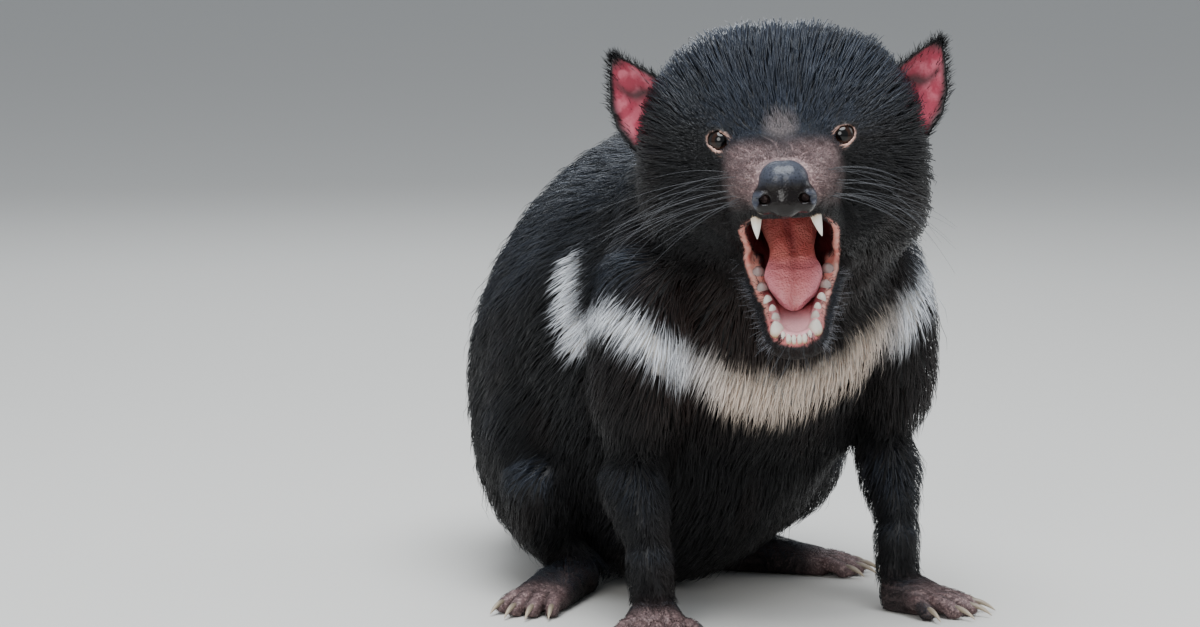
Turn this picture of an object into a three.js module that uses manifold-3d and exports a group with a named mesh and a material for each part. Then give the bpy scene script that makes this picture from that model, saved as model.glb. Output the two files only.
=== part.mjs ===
// A Tasmanian devil at life size, sitting on its rump with straight forelegs and gaping.
// Millimetres, +Z up. The body runs along Y and faces -Y, and +X is the animal's left.
// Every size is taken to the tips of the coat.

import * as THREE from 'three';
import { mergeVertices } from 'three/addons/utils/BufferGeometryUtils.js';
import Module from 'manifold-3d';

const wasm = await Module();
wasm.setup();

// Joins between the pieces
const GAP = 0.3;

// Loft stations: where the middle of a section is, and how far the section
// reaches to each side, towards its upper edge and towards its lower edge.
const station = (x, y, z, side, up, down) => ({
  centre: new THREE.Vector3(x, y, z),
  reach: new THREE.Vector3(side, up, down),
});

// Head, in its own frame: origin between the eyes, -Y to the nose, +Z up
const HEAD_ORIGIN = new THREE.Vector3(-45.5, -78.5, 275);
const HEAD_TURN = THREE.MathUtils.degToRad(-29);
const HEAD_ROLL = THREE.MathUtils.degToRad(-3);

const SKULL = [
  station(0, -15, -14, 22, 14, 18),
  station(0, -5, -12, 36, 29, 28),
  station(0, 10, -16, 58, 55, 44),
  station(0, 29, -24, 76, 80, 52),
  station(0, 48, -26, 82, 86, 58),
  station(0, 66, -28, 81, 82, 60),
  station(0, 84, -30, 70, 70, 54),
  station(0, 104, -30, 54, 54, 42),
];
const MUZZLE = [
  station(0, -65, -21, 19, 11, 13),
  station(0, -54, -21, 24, 16, 17),
  station(0, -38, -20, 29, 20, 20),
  station(0, -20, -18, 31.5, 23, 24),
  station(0, 0, -16, 35, 28, 28),
  station(0, 16, -16, 41, 35, 30),
];
// Upper lips that hang back and down to the corners of the mouth
const FLEWS = [
  station(0, -46, -32, 21, 8, 6),
  station(0, -32, -36, 27, 12, 9),
  station(0, -16, -40, 29, 16, 14),
  station(0, 2, -44, 31, 20, 18),
  station(0, 18, -46, 36, 22, 24),
];
const NOSE = { width: 31, height: 29, depth: 20, y: -63, z: -18 };
const NOSTRIL = { radius: 3.4, taper: 0.6, x: 10.5, y: -69, z: -21, length: 7, splay: 0.7 };
const EYE = { radius: 6.8, x: 31.5, y: 0, z: 0.5, lids: 7.2, out: 0.4, ahead: 6 };

// Lower jaw, hinged behind the eyes and dropped by the gape
const HINGE = { y: 52, z: -28 };
const GAPE = THREE.MathUtils.degToRad(40.5);
const JAW = [
  { along: 117, below: 9, side: 10, up: 6, down: 7 },
  { along: 106, below: 9, side: 16, up: 8.5, down: 11 },
  { along: 86, below: 10, side: 21.5, up: 9.5, down: 15 },
  { along: 64, below: 12, side: 28, up: 13, down: 22 },
  { along: 42, below: 15, side: 38, up: 18, down: 32 },
  { along: 20, below: 18, side: 52, up: 18, down: 42 },
  { along: 2, below: 20, side: 50, up: 14, down: 40 },
];
const MOUTH = [
  station(0, -80, -77, 20, 36, 36),
  station(0, -46, -68, 20.5, 32.5, 32),
  station(0, -16, -59, 21.5, 24, 25),
  station(0, 12, -50, 19, 16, 17),
  station(0, 46, -40, 12, 8, 9),
];
const PALATE = [
  station(0, -52, -37, 12, 6, 3),
  station(0, -30, -37, 15, 9, 4),
  station(0, 10, -40, 15, 9, 6),
];
const JAW_FLOOR = [
  { along: 112, below: 0, side: 8, up: 3, down: 5 },
  { along: 98, below: 0, side: 12, up: 5, down: 9 },
  { along: 70, below: 0, side: 15, up: 8, down: 10 },
  { along: 34, below: 0, side: 15, up: 8, down: 10 },
];
const TONGUE = [
  { along: 98, below: 5, side: 9, up: 2.5, down: 2.5 },
  { along: 82, below: 3, side: 13.5, up: 5, down: 4.5 },
  { along: 62, below: 0, side: 16, up: 7, down: 6.5 },
  { along: 42, below: -2, side: 15, up: 8, down: 7 },
  { along: 22, below: -2, side: 11, up: 6, down: 6 },
];

// Teeth of one side, from the midline back: place along the row, how far out
// they stand, length and root radius
const UPPER_TEETH = [
  { y: -58, x: 2, length: 3.5, radius: 1.3 },
  { y: -57, x: 5.5, length: 3.5, radius: 1.4 },
  { y: -55.5, x: 8.6, length: 4, radius: 1.4 },
  { y: -50, x: 15, length: 13, radius: 3.1 },
  { y: -40, x: 17.5, length: 5, radius: 2.6 },
  { y: -33, x: 18.5, length: 6, radius: 3 },
  { y: -24, x: 19.5, length: 6.5, radius: 3.6 },
  { y: -14, x: 19.5, length: 6.5, radius: 4 },
];
const UPPER_ROOT = { z: -36, sink: 3 };
const LOWER_TEETH = [
  { along: 113, x: 2, length: 3.5, radius: 1.4 },
  { along: 112, x: 5, length: 4, radius: 1.5 },
  { along: 107, x: 9.5, length: 10, radius: 3 },
  { along: 99, x: 12, length: 5, radius: 2.3 },
  { along: 92, x: 13.5, length: 5.5, radius: 2.6 },
  { along: 82, x: 16.5, length: 6.5, radius: 3.2 },
  { along: 71, x: 18, length: 6.5, radius: 3.6 },
];
const LOWER_ROOT = { below: 1.5, sink: 3 };

// Ear: a cupped leaf that stands out from the side of the head
const EAR = {
  base: new THREE.Vector3(53, 60, -10),
  tip: new THREE.Vector3(87, 56, 43),
  facing: new THREE.Vector3(0.35, -0.93, -0.1),
  halfWidths: [15, 19.5, 19, 13.5, 4.5],
  halfThickness: 1.1,
  cup: 9,
};

// Trunk and neck
const TRUNK = [
  station(0, -36, 158, 36, 34, 34),
  station(0, -16, 163, 66, 68, 64),
  station(0, 22, 166, 86, 102, 92),
  station(0, 74, 158, 98, 122, 126),
  station(0, 128, 142, 104, 128, 138),
  station(0, 178, 120, 98, 110, 134),
  station(0, 222, 95, 87, 100, 114),
  station(0, 262, 72, 62, 72, 84),
  station(0, 290, 58, 38, 44, 50),
];
const NECK = [
  station(-33, -40, 246, 60, 66, 62),
  station(-16, -16, 236, 76, 74, 72),
  station(-4, 12, 222, 84, 78, 76),
  station(0, 48, 206, 84, 78, 74),
  station(0, 80, 192, 76, 74, 66),
];

// Foreleg of the left side; the right one is mirrored, leans its own way
// and has its foot turned its own way
const ELBOW_LEAN = { left: 7, right: -5 };
const UPPER_ARM = [
  station(58, 30, 216, 22, 28, 28),
  station(67, 24, 192, 36, 42, 40),
  station(73, 22, 160, 36, 43, 40),
  station(78, 28, 124, 31, 35, 33),
  station(80, 34, 92, 25, 26, 26),
];
const FOREARM = [
  station(80, 36, 100, 22, 22, 24),
  station(80, 30, 82, 23.5, 24, 24),
  station(79, 18, 60, 18.5, 19, 19),
  station(77, 6, 38, 13.5, 14, 14),
  station(77, 1, 20, 13.5, 14, 14),
];
const FOREFOOT = {
  wrist: { left: new THREE.Vector3(79, 2, 13), right: new THREE.Vector3(-77, 2, 13) },
  turn: { left: THREE.MathUtils.degToRad(37), right: THREE.MathUtils.degToRad(-27) },
  palm: [
    station(0, -23, 7, 17, 6, 11),
    station(0, -13, 9, 18, 9, 14),
    station(0, 0, 10, 15, 11, 15),
    station(0, 12, 9, 9, 8, 13),
  ],
  toes: [
    { x: -15, y: -12, spread: -0.62, length: 19, radius: 4.6, claw: 10 },
    { x: -9, y: -19, spread: -0.25, length: 21, radius: 4.8, claw: 11 },
    { x: -1, y: -21, spread: -0.02, length: 22, radius: 5, claw: 11 },
    { x: 7, y: -19, spread: 0.2, length: 21, radius: 4.8, claw: 11 },
    { x: 13, y: -12, spread: 0.5, length: 18, radius: 4.5, claw: 11 },
  ],
};

// Hind leg of the left side; the right one is mirrored, and its foot is further forward
const THIGH_OUT = { left: 4, right: -11 };
const SHANK_BACK = { left: 20, right: -2 };
const THIGH = [
  station(38, 242, 104, 34, 42, 40),
  station(54, 214, 102, 46, 70, 72),
  station(66, 178, 94, 44, 82, 80),
  station(80, 140, 86, 42, 66, 68),
  station(88, 106, 82, 32, 40, 42),
];
const SHANK = [
  station(90, 112, 88, 18, 20, 22),
  station(90, 118, 66, 26, 26, 26),
  station(80, 134, 42, 22, 22, 22),
  station(66, 146, 20, 15, 14, 16),
];
const HINDFOOT = {
  ankle: { left: new THREE.Vector3(50, 158, 12), right: new THREE.Vector3(-59, 130, 12) },
  turn: { left: THREE.MathUtils.degToRad(50), right: THREE.MathUtils.degToRad(-48) },
  sole: [
    station(0, -66, 7, 15, 5, 10),
    station(0, -56, 8, 17, 8, 12),
    station(0, -30, 10, 15, 10, 14),
    station(0, 0, 10, 13, 12, 14),
    station(0, 12, 8, 8, 7, 11),
  ],
  toes: [
    { x: -10, y: -58, spread: -0.22, length: 21, radius: 4.6, claw: 9 },
    { x: -3, y: -60, spread: -0.06, length: 23, radius: 4.8, claw: 10 },
    { x: 4, y: -60, spread: 0.1, length: 23, radius: 4.8, claw: 10 },
    { x: 11, y: -57, spread: 0.28, length: 20, radius: 4.5, claw: 9 },
  ],
};

// A toe from its tip back to its root: part of its length, how far its middle
// stands above its radius, its reach in radii, and how far it would sink below
const TOE_PROFILE = [
  { part: 1, rise: -1, reach: 0.7, sink: 0 },
  { part: 0.8, rise: 0, reach: 1, sink: 2 },
  { part: 0.45, rise: 1.5, reach: 1, sink: 3.5 },
  { part: -0.2, rise: 2, reach: 1, sink: 4 },
];
// A claw from its point back into the toe: part of its length beyond the toe,
// height above the ground and half thickness
const CLAW_PROFILE = [
  { part: 1, z: 2, half: 0.5 },
  { part: 0.45, z: 5.8, half: 1.4 },
  { part: -0.45, z: 6.6, half: 1.8 },
];

// Tail, laid on the ground and bent to the animal's left. Its sections reach
// upward by their first size and to either side by the other two.
const TAIL = [
  station(0, 262, 42, 42, 36, 36),
  station(10, 306, 30, 31, 31, 31),
  station(40, 352, 25, 26, 27, 27),
  station(88, 386, 19, 20, 21, 21),
  station(140, 402, 12.5, 13.5, 14, 14),
  station(184, 402, 6.5, 7.5, 8, 8),
];
const TAIL_LENGTHS = [
  { name: 'tail_base', from: 0, to: 0.36, ends: [0.2, 0] },
  { name: 'tail_middle', from: 0.362, to: 0.7, ends: [0, 0] },
  { name: 'tail_tip', from: 0.702, to: 1, ends: [0, 0.2] },
];

// Finishes
const COLOURS = {
  coat: { color: '#101013', roughness: 0.75 },
  eye: { color: '#150b07', roughness: 0.08 },
  nose: { color: '#15151a', roughness: 0.28 },
  ear: { color: '#8f2436', roughness: 0.6 },
  tongue: { color: '#c9636a', roughness: 0.35 },
  foot: { color: '#3a2a29', roughness: 0.7 },
};
const finish = (name) => new THREE.MeshStandardMaterial({ ...COLOURS[name], metalness: 0 });

// Ring plan of a loft: parameter along it and scale of the section, with a
// dome of some rings at each end, or a flat end where the dome is 0
function ringPlan(rings, domeRings, firstDome, lastDome) {
  const dome = (length) => {
    if (length === 0) {
      return [{ t: 0, scale: 0 }];
    }
    return Array.from({ length: domeRings }, (_, i) => {
      const angle = (i / domeRings) * (Math.PI / 2);
      return { t: length * (1 - Math.cos(angle)), scale: Math.sin(angle) };
    });
  };
  const middle = Array.from({ length: rings + 1 }, (_, i) => ({
    t: firstDome + ((1 - firstDome - lastDome) * i) / rings,
    scale: 1,
  }));
  const last = dome(lastDome).map(({ t, scale }) => ({ t: 1 - t, scale }));
  return [...dome(firstDome), ...middle, ...last.reverse()];
}

// A closed loft through stations: a sphere's rings moved onto the sections.
// boxy is the exponent of the sections (2 is an ellipse), and phase turns their
// corners by that part of a side, so that a flat can face down. bend moves a
// point of a section up by its distance out, which cups a flat loft.
function loft(stations, options = {}, grow = 0) {
  const { sides, rings, domes, domeRings = 3, boxy = 2, phase = 0, range = [0, 1] } = options;
  const across = options.across ?? new THREE.Vector3(1, 0, 0);
  const bend = options.bend ?? (() => 0);
  const route = new THREE.CatmullRomCurve3(stations.map((s) => s.centre));
  const reach = new THREE.CatmullRomCurve3(stations.map((s) => s.reach));
  const plan = ringPlan(rings, domeRings, ...domes);
  const sphere = new THREE.SphereGeometry(1, sides, plan.length - 1);
  const position = sphere.getAttribute('position');
  const superpose = (value) => Math.sign(value) * Math.abs(value) ** (2 / boxy);
  for (let k = 0; k < position.count; k += 1) {
    const ring = plan[Math.floor(k / (sides + 1))];
    const corner = ((k % (sides + 1)) % sides) + phase;
    const angle = (2 * Math.PI * corner) / sides;
    const t = range[0] + (range[1] - range[0]) * ring.t;
    const centre = route.getPoint(t);
    const size = reach.getPoint(t);
    const tangent = route.getTangent(t);
    const side = across.clone().addScaledVector(tangent, -across.dot(tangent)).normalize();
    const up = side.clone().cross(tangent);
    const out = -superpose(Math.cos(angle));
    const rise = -superpose(Math.sin(angle));
    const height = rise > 0 ? size.y : size.z;
    const lengthwise = grow * (2 * ring.t - 1) * (1 - ring.scale);
    const point = centre
      .addScaledVector(tangent, lengthwise)
      .addScaledVector(side, ring.scale * out * (size.x + grow))
      .addScaledVector(up, ring.scale * rise * (height + grow) + bend(t, out * ring.scale));
    position.setXYZ(k, point.x, point.y, point.z);
  }
  return sphere;
}

// A solid from a three.js geometry, with its shared vertices merged
function solid(geometry) {
  const bare = geometry.index ? geometry.clone() : geometry;
  bare.deleteAttribute('normal');
  bare.deleteAttribute('uv');
  const merged = mergeVertices(bare);
  const vertProperties = new Float32Array(merged.getAttribute('position').array);
  const triVerts = new Uint32Array(merged.index.array);
  return new wasm.Manifold(new wasm.Mesh({ numProp: 3, vertProperties, triVerts }));
}

const joined = (solids) => solids.reduce((whole, next) => whole.add(next));
const without = (body, cutters) => cutters.reduce((rest, cutter) => rest.subtract(cutter), body);

// The closed body that is left when a cut also frees slivers: its largest piece
function largest(body) {
  const pieces = body.decompose();
  return pieces.reduce((a, b) => (a.volume() > b.volume() ? a : b));
}

function mesh(name, body, material) {
  const { vertProperties, triVerts } = largest(body).getMesh();
  const geometry = new THREE.BufferGeometry();
  geometry.setAttribute('position', new THREE.BufferAttribute(vertProperties, 3));
  geometry.setIndex(new THREE.BufferAttribute(triVerts, 1));
  geometry.computeVertexNormals();
  const result = new THREE.Mesh(geometry, material);
  result.name = name;
  return result;
}

// The ground, as a block that flattens whatever would sink into it
const GROUND_SIZE = 2000;
const ground = solid(
  new THREE.BoxGeometry(GROUND_SIZE, GROUND_SIZE, GROUND_SIZE).translate(0, 0, -GROUND_SIZE / 2),
);

// Head frame
const headFrame = new THREE.Group();
headFrame.position.copy(HEAD_ORIGIN);
headFrame.rotation.set(0, HEAD_ROLL, HEAD_TURN, 'ZXY');
headFrame.updateMatrixWorld();
const inHead = (geometry) => solid(geometry.applyMatrix4(headFrame.matrixWorld));

// A place in the dropped jaw: along it from the hinge, and below its lip line
const alongJaw = (along, below) => ({
  y: HINGE.y - along * Math.cos(GAPE) + below * Math.sin(GAPE),
  z: HINGE.z - along * Math.sin(GAPE) - below * Math.cos(GAPE),
});
const jawStations = (rows) =>
  rows.map(({ along, below, side, up, down }) => {
    const { y, z } = alongJaw(along, below);
    return station(0, y, z, side, up, down);
  });

// A tooth as a slim cone from its root to its tip
const TOOTH_SIDES = { canine: 6, other: 4 };
const CANINE_LENGTH = 10;
function tooth(root, tip, radius) {
  const direction = tip.clone().sub(root);
  const sides = direction.length() > CANINE_LENGTH ? TOOTH_SIDES.canine : TOOTH_SIDES.other;
  const cone = new THREE.ConeGeometry(radius, direction.length(), sides);
  const up = new THREE.Vector3(0, 1, 0);
  cone.applyQuaternion(new THREE.Quaternion().setFromUnitVectors(up, direction.normalize()));
  const middle = root.clone().add(tip).multiplyScalar(0.5);
  return cone.translate(middle.x, middle.y, middle.z);
}

const bothSides = [-1, 1];

function upperTeeth() {
  return bothSides.flatMap((side) =>
    UPPER_TEETH.map(({ y, x, length, radius }) => {
      const root = new THREE.Vector3(side * x, y, UPPER_ROOT.z + UPPER_ROOT.sink);
      const tip = new THREE.Vector3(side * x, y - radius / 2, UPPER_ROOT.z - length);
      return inHead(tooth(root, tip, radius));
    }),
  );
}

function lowerTeeth() {
  return bothSides.flatMap((side) =>
    LOWER_TEETH.map(({ along, x, length, radius }) => {
      const low = alongJaw(along, LOWER_ROOT.below + LOWER_ROOT.sink);
      const high = alongJaw(along + radius / 2, LOWER_ROOT.below - length);
      const root = new THREE.Vector3(side * x, low.y, low.z);
      const tip = new THREE.Vector3(side * x, high.y, high.z);
      return inHead(tooth(root, tip, radius));
    }),
  );
}

function mouthSpace() {
  return joined([
    inHead(loft(MOUTH, { sides: 12, rings: 4, domes: [0, 0.2], boxy: 2.6 })),
    inHead(loft(PALATE, { sides: 8, rings: 2, domes: [0.3, 0.3], domeRings: 2 })),
    inHead(loft(jawStations(JAW_FLOOR), { sides: 10, rings: 3, domes: [0.25, 0.2], domeRings: 2 })),
  ]);
}

function eyeball(side, radius) {
  const ball = new THREE.SphereGeometry(radius, 10, 7);
  return ball.translate(side * EYE.x, EYE.y, EYE.z);
}

// The opening between the lids, ahead of the eyeball and a little outward
function lidOpening(side) {
  const cup = new THREE.SphereGeometry(EYE.lids, 8, 6);
  const out = side * (EYE.x + EYE.out * EYE.ahead);
  return cup.translate(out, EYE.y - EYE.ahead, EYE.z);
}

function noseLeather(grow = 0) {
  const { width, height, depth, y, z } = NOSE;
  const pad = new THREE.SphereGeometry(1, 12, 7);
  pad.scale(width / 2 + grow, depth / 2 + grow, height / 2 + grow);
  return pad.translate(0, y, z);
}

function nostril(side) {
  const { radius, taper, x, y, z, length, splay } = NOSTRIL;
  const hole = new THREE.CylinderGeometry(radius, radius * taper, length, 6);
  hole.rotateZ(-side * splay);
  hole.rotateX(Math.PI / 2);
  return hole.translate(side * x, y, z);
}

function earLeaf(side) {
  const { base, tip, facing, halfWidths, halfThickness, cup } = EAR;
  const flip = (v) => new THREE.Vector3(side * v.x, v.y, v.z);
  const from = flip(base);
  const to = flip(tip);
  const stations = halfWidths.map((half, i) => {
    const centre = from.clone().lerp(to, i / (halfWidths.length - 1));
    return { centre, reach: new THREE.Vector3(half, halfThickness, halfThickness) };
  });
  const axis = to.clone().sub(from).normalize();
  const across = axis.clone().cross(flip(facing)).normalize();
  const bend = (t, out) => cup * (1 - t * t) * out * out;
  const options = { sides: 10, rings: 5, domes: [0.06, 0.1], domeRings: 1, across, bend };
  return loft(stations, options);
}

// Stations of a limb on one side, moved out by the lean as they near its end
const onSide = (side, stations, lean = () => 0) =>
  stations.map(({ centre, reach }, i) => ({
    centre: new THREE.Vector3(side * (centre.x + lean(i)), centre.y, centre.z),
    reach,
  }));

// A foot: its pad, then each toe with a curved claw, turned out by an angle
const SOLE_LOOK = { sides: 8, rings: 3, domes: [0.2, 0.25], domeRings: 2, boxy: 2.4, phase: 0.5 };
const TOE_LOOK = { sides: 5, rings: 1, domes: [0.35, 0], domeRings: 2, phase: 0.75 };
const CLAW_LOOK = { sides: 4, rings: 1, domes: [0.5, 0], domeRings: 1 };
function foot(side, place, pad, toes, turn, grow = 0) {
  const frame = new THREE.Matrix4().makeRotationZ(turn);
  frame.setPosition(place.x, place.y, 0);
  const put = (geometry) => solid(geometry.applyMatrix4(frame));
  const digits = toes.flatMap(({ x, y, spread, length, radius, claw }) => {
    const out = side * Math.sin(spread);
    const ahead = -Math.cos(spread);
    const at = (along, z, ...sizes) =>
      station(side * x + out * along, y + ahead * along, z, ...sizes);
    const toe = TOE_PROFILE.map(({ part, rise, reach, sink }) => {
      const half = radius * reach;
      return at(length * part, radius + rise, half, half, half + sink);
    });
    const nail = CLAW_PROFILE.map(({ part, z, half }) =>
      at(length + claw * part, z, half, half, half),
    );
    return [put(loft(toe, TOE_LOOK, grow)), put(loft(nail, CLAW_LOOK, grow))];
  });
  const sole = put(loft(onSide(side, pad), SOLE_LOOK, grow));
  return joined([sole, ...digits]).subtract(ground);
}

// Shapes of the larger pieces, at their own size or grown by the gap to cut their neighbours
const LIMB_LOOK = { sides: 10, rings: 4, domes: [0.2, 0.15], domeRings: 2 };
const skull = (grow = 0) =>
  inHead(loft(SKULL, { sides: 18, rings: 6, domes: [0.1, 0.12], boxy: 2.25 }, grow));
const muzzle = (grow = 0) =>
  joined([
    inHead(loft(MUZZLE, { sides: 12, rings: 4, domes: [0.18, 0.1], boxy: 2.3 }, grow)),
    inHead(loft(FLEWS, { sides: 10, rings: 3, domes: [0.2, 0.1], domeRings: 2, boxy: 2.8 }, grow)),
  ]);
const jaw = (grow = 0) =>
  inHead(loft(jawStations(JAW), { sides: 12, rings: 6, domes: [0.12, 0.14] }, grow));
const neck = (grow = 0) =>
  solid(loft(NECK, { sides: 12, rings: 4, domes: [0.12, 0.12], domeRings: 2 }, grow));
const sideName = (side) => (side > 0 ? 'left' : 'right');
const upperArm = (side, grow = 0) => {
  const lean = (i) => (ELBOW_LEAN[sideName(side)] * i) / (UPPER_ARM.length - 1);
  return solid(loft(onSide(side, UPPER_ARM, lean), LIMB_LOOK, grow));
};
const forearm = (side, grow = 0) => {
  const lean = (i) => ELBOW_LEAN[sideName(side)] * (1 - i / (FOREARM.length - 1));
  return solid(loft(onSide(side, FOREARM, lean), LIMB_LOOK, grow));
};
const thigh = (side, grow = 0) => {
  const stations = onSide(side, THIGH, () => THIGH_OUT[sideName(side)]);
  return solid(loft(stations, { sides: 12, rings: 4, domes: [0.2, 0.16], domeRings: 2 }, grow));
};
const shank = (side, grow = 0) => {
  const back = SHANK_BACK[sideName(side)] / (SHANK.length - 1);
  const stations = onSide(side, SHANK);
  stations.forEach(({ centre }, i) => centre.setY(centre.y + back * i));
  return solid(loft(stations, LIMB_LOOK, grow));
};
const upright = new THREE.Vector3(0, 0, 1);
const tailLook = { sides: 10, rings: 3, domeRings: 2, phase: 0.5, across: upright };
const tailLength = (from, to, ends, grow = 0) =>
  solid(loft(TAIL, { ...tailLook, domes: ends, range: [from, to] }, grow));

const tasmanianDevil = new THREE.Group();

// Head, lower jaw and what the open mouth shows
const mouth = mouthSpace();
const headGrown = joined([skull(GAP), muzzle(GAP)]);
const jawGrown = jaw(GAP);
const headCutters = [mouth, inHead(noseLeather(GAP))];
bothSides.forEach((side) => {
  const label = sideName(side);
  const ear = inHead(earLeaf(side)).subtract(headGrown);
  headCutters.push(inHead(eyeball(side, EYE.radius + GAP)), inHead(lidOpening(side)));
  tasmanianDevil.add(
    mesh(`eye_${label}`, inHead(eyeball(side, EYE.radius)), finish('eye')),
    mesh(`ear_${label}`, ear, finish('ear')),
  );
});
const nostrils = bothSides.map((side) => inHead(nostril(side)));
const nose = without(inHead(noseLeather()), nostrils);
const headShape = without(joined([skull(), muzzle()]), headCutters);
const head = joined([largest(headShape), ...upperTeeth()]);
const jawShape = without(jaw(), [mouth, headGrown]);
const lowerJaw = joined([largest(jawShape), ...lowerTeeth()]);
const tongueLook = { sides: 10, rings: 4, domes: [0.2, 0.15] };
const tongueShape = inHead(loft(jawStations(TONGUE), tongueLook));
const tongue = without(tongueShape, [headGrown, jawGrown.subtract(mouth), ...lowerTeeth()]);
tasmanianDevil.add(
  mesh('nose', nose, finish('nose')),
  mesh('head', head, finish('coat')),
  mesh('lower_jaw', lowerJaw, finish('coat')),
  mesh('tongue', tongue, finish('tongue')),
);

// Limbs
const limbsGrown = [];
bothSides.forEach((side) => {
  const label = sideName(side);
  const { wrist, palm } = FOREFOOT;
  const { ankle, sole } = HINDFOOT;
  const forefoot = foot(side, wrist[label], palm, FOREFOOT.toes, FOREFOOT.turn[label]);
  const hindfootSpec = [side, ankle[label], sole, HINDFOOT.toes, HINDFOOT.turn[label]];
  const hindfoot = foot(...hindfootSpec);
  const arm = without(upperArm(side), [headGrown, jawGrown]);
  const lowerArm = without(forearm(side), [upperArm(side, GAP), ground]);
  const haunch = without(thigh(side), [ground]);
  const lowerLeg = without(shank(side), [thigh(side, GAP), ground]);
  const lowerLegGrown = [thigh(side, GAP), shank(side, GAP)];
  tasmanianDevil.add(
    mesh(`upper_arm_${label}`, arm, finish('coat')),
    mesh(`forearm_${label}`, lowerArm, finish('coat')),
    mesh(`forefoot_${label}`, without(forefoot, [forearm(side, GAP)]), finish('foot')),
    mesh(`thigh_${label}`, haunch, finish('coat')),
    mesh(`shank_${label}`, lowerLeg, finish('coat')),
    mesh(`hindfoot_${label}`, without(hindfoot, lowerLegGrown), finish('foot')),
  );
  limbsGrown.push(upperArm(side, GAP), forearm(side, GAP), ...lowerLegGrown);
  limbsGrown.push(foot(...hindfootSpec, GAP));
});

// Neck, trunk and tail
const neckShape = without(neck(), [headGrown, jawGrown, upperArm(-1, GAP), upperArm(1, GAP)]);
tasmanianDevil.add(mesh('neck', neckShape, finish('coat')));

const tailGrown = TAIL_LENGTHS.map(({ name, from, to, ends }) => {
  const length = tailLength(from, to, ends).subtract(ground);
  tasmanianDevil.add(mesh(name, length, finish('coat')));
  return tailLength(from, to, ends, GAP);
});
const trunkShape = solid(loft(TRUNK, { sides: 18, rings: 7, domes: [0.1, 0.1] }));
const trunkCutters = [neck(GAP), headGrown, jawGrown, ...tailGrown, ground, ...limbsGrown];
const trunk = without(trunkShape, trunkCutters);
tasmanianDevil.add(mesh('trunk', trunk, finish('coat')));

// Origin at the middle of the ground that the animal covers
const extent = new THREE.Box3().setFromObject(tasmanianDevil);
const middle = extent.getCenter(new THREE.Vector3());
tasmanianDevil.position.set(-middle.x, -middle.y, -extent.min.z);

export default tasmanianDevil;
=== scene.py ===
"""A Tasmanian devil at life size, sitting on its rump with its mouth wide open.

The skin, coat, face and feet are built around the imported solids, in metres.
Inside the functions lengths are millimetres until a mesh is made.
"""

import itertools
import math

import bpy
import numpy as np
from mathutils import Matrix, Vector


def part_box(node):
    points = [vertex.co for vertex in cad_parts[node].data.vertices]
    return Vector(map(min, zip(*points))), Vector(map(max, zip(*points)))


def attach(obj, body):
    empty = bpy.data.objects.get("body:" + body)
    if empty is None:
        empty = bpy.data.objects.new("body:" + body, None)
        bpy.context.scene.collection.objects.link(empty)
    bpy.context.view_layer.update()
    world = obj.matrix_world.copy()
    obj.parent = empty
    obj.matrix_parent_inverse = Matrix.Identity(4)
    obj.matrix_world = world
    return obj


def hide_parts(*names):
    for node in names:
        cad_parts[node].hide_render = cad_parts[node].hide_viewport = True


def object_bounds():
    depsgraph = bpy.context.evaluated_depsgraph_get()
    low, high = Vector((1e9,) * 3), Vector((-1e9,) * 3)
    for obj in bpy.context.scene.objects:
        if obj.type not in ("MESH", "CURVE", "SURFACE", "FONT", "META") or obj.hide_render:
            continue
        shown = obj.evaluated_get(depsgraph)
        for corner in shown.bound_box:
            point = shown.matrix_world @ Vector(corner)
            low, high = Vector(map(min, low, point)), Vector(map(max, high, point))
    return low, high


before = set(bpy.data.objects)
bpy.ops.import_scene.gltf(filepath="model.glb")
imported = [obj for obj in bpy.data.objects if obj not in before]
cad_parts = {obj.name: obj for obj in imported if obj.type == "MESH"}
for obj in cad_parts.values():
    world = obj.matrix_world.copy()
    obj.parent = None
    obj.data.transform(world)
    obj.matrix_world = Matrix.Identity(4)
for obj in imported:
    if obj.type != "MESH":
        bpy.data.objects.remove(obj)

import openvdb as vdb
from mathutils import Matrix, Vector
from mathutils.bvhtree import BVHTree

SOLID_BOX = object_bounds()

bl_info = {
    "name": "Tasmanian devil",
    "version": (1, 0, 0),
    "blender": (4, 5, 0),
    "location": "3D View > Sidebar > Devil",
    "description": "Builds the skin, coat, face and feet of a sitting Tasmanian devil",
    "category": "Object",
}

MM = 0.001
BODY = "root"
SIDES = {"left": 1, "right": -1}
FLOOR_GAP = 0.4
PIECE_FACES = 200_000

# Seeds of what is scattered
SEEDS = {"whiskers": 11, "bristles": 12, "roots": 21, "coat": 31, "clumps": 50, "ears": 71}
# Noises by name, each with the size of its features in mm and its seed
NOISES = {
    "band": (9, 5), "band_fine": (3.5, 6), "drift": (26, 8), "lips": (6, 9),
    "tongue": (7, 3), "tongue_fine": (2.6, 4), "lift": (12, 60), "crown": (7, 62),
    "shade": (7, 61), "shade_fine": (2.6, 63),
}
SWIRL_NOISES = [(26, 40), (26, 41), (26, 42)]

FLESH = [
    "head", "lower_jaw", "neck", "trunk", "tail_base", "tail_middle", "tail_tip",
    "upper_arm_left", "upper_arm_right", "forearm_left", "forearm_right",
    "thigh_left", "thigh_right", "shank_left", "shank_right",
]
FEET = ["forefoot_left", "forefoot_right", "hindfoot_left", "hindfoot_right"]


# Places

def middle(node):
    """The middle of a solid's box, in mm."""
    low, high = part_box(node)
    return (np.array(low) + np.array(high)) / 2 / MM


def unit(vectors):
    """Vectors brought to length 1."""
    return vectors / np.maximum(np.linalg.norm(vectors, axis=-1, keepdims=True), 1e-9)


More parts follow.
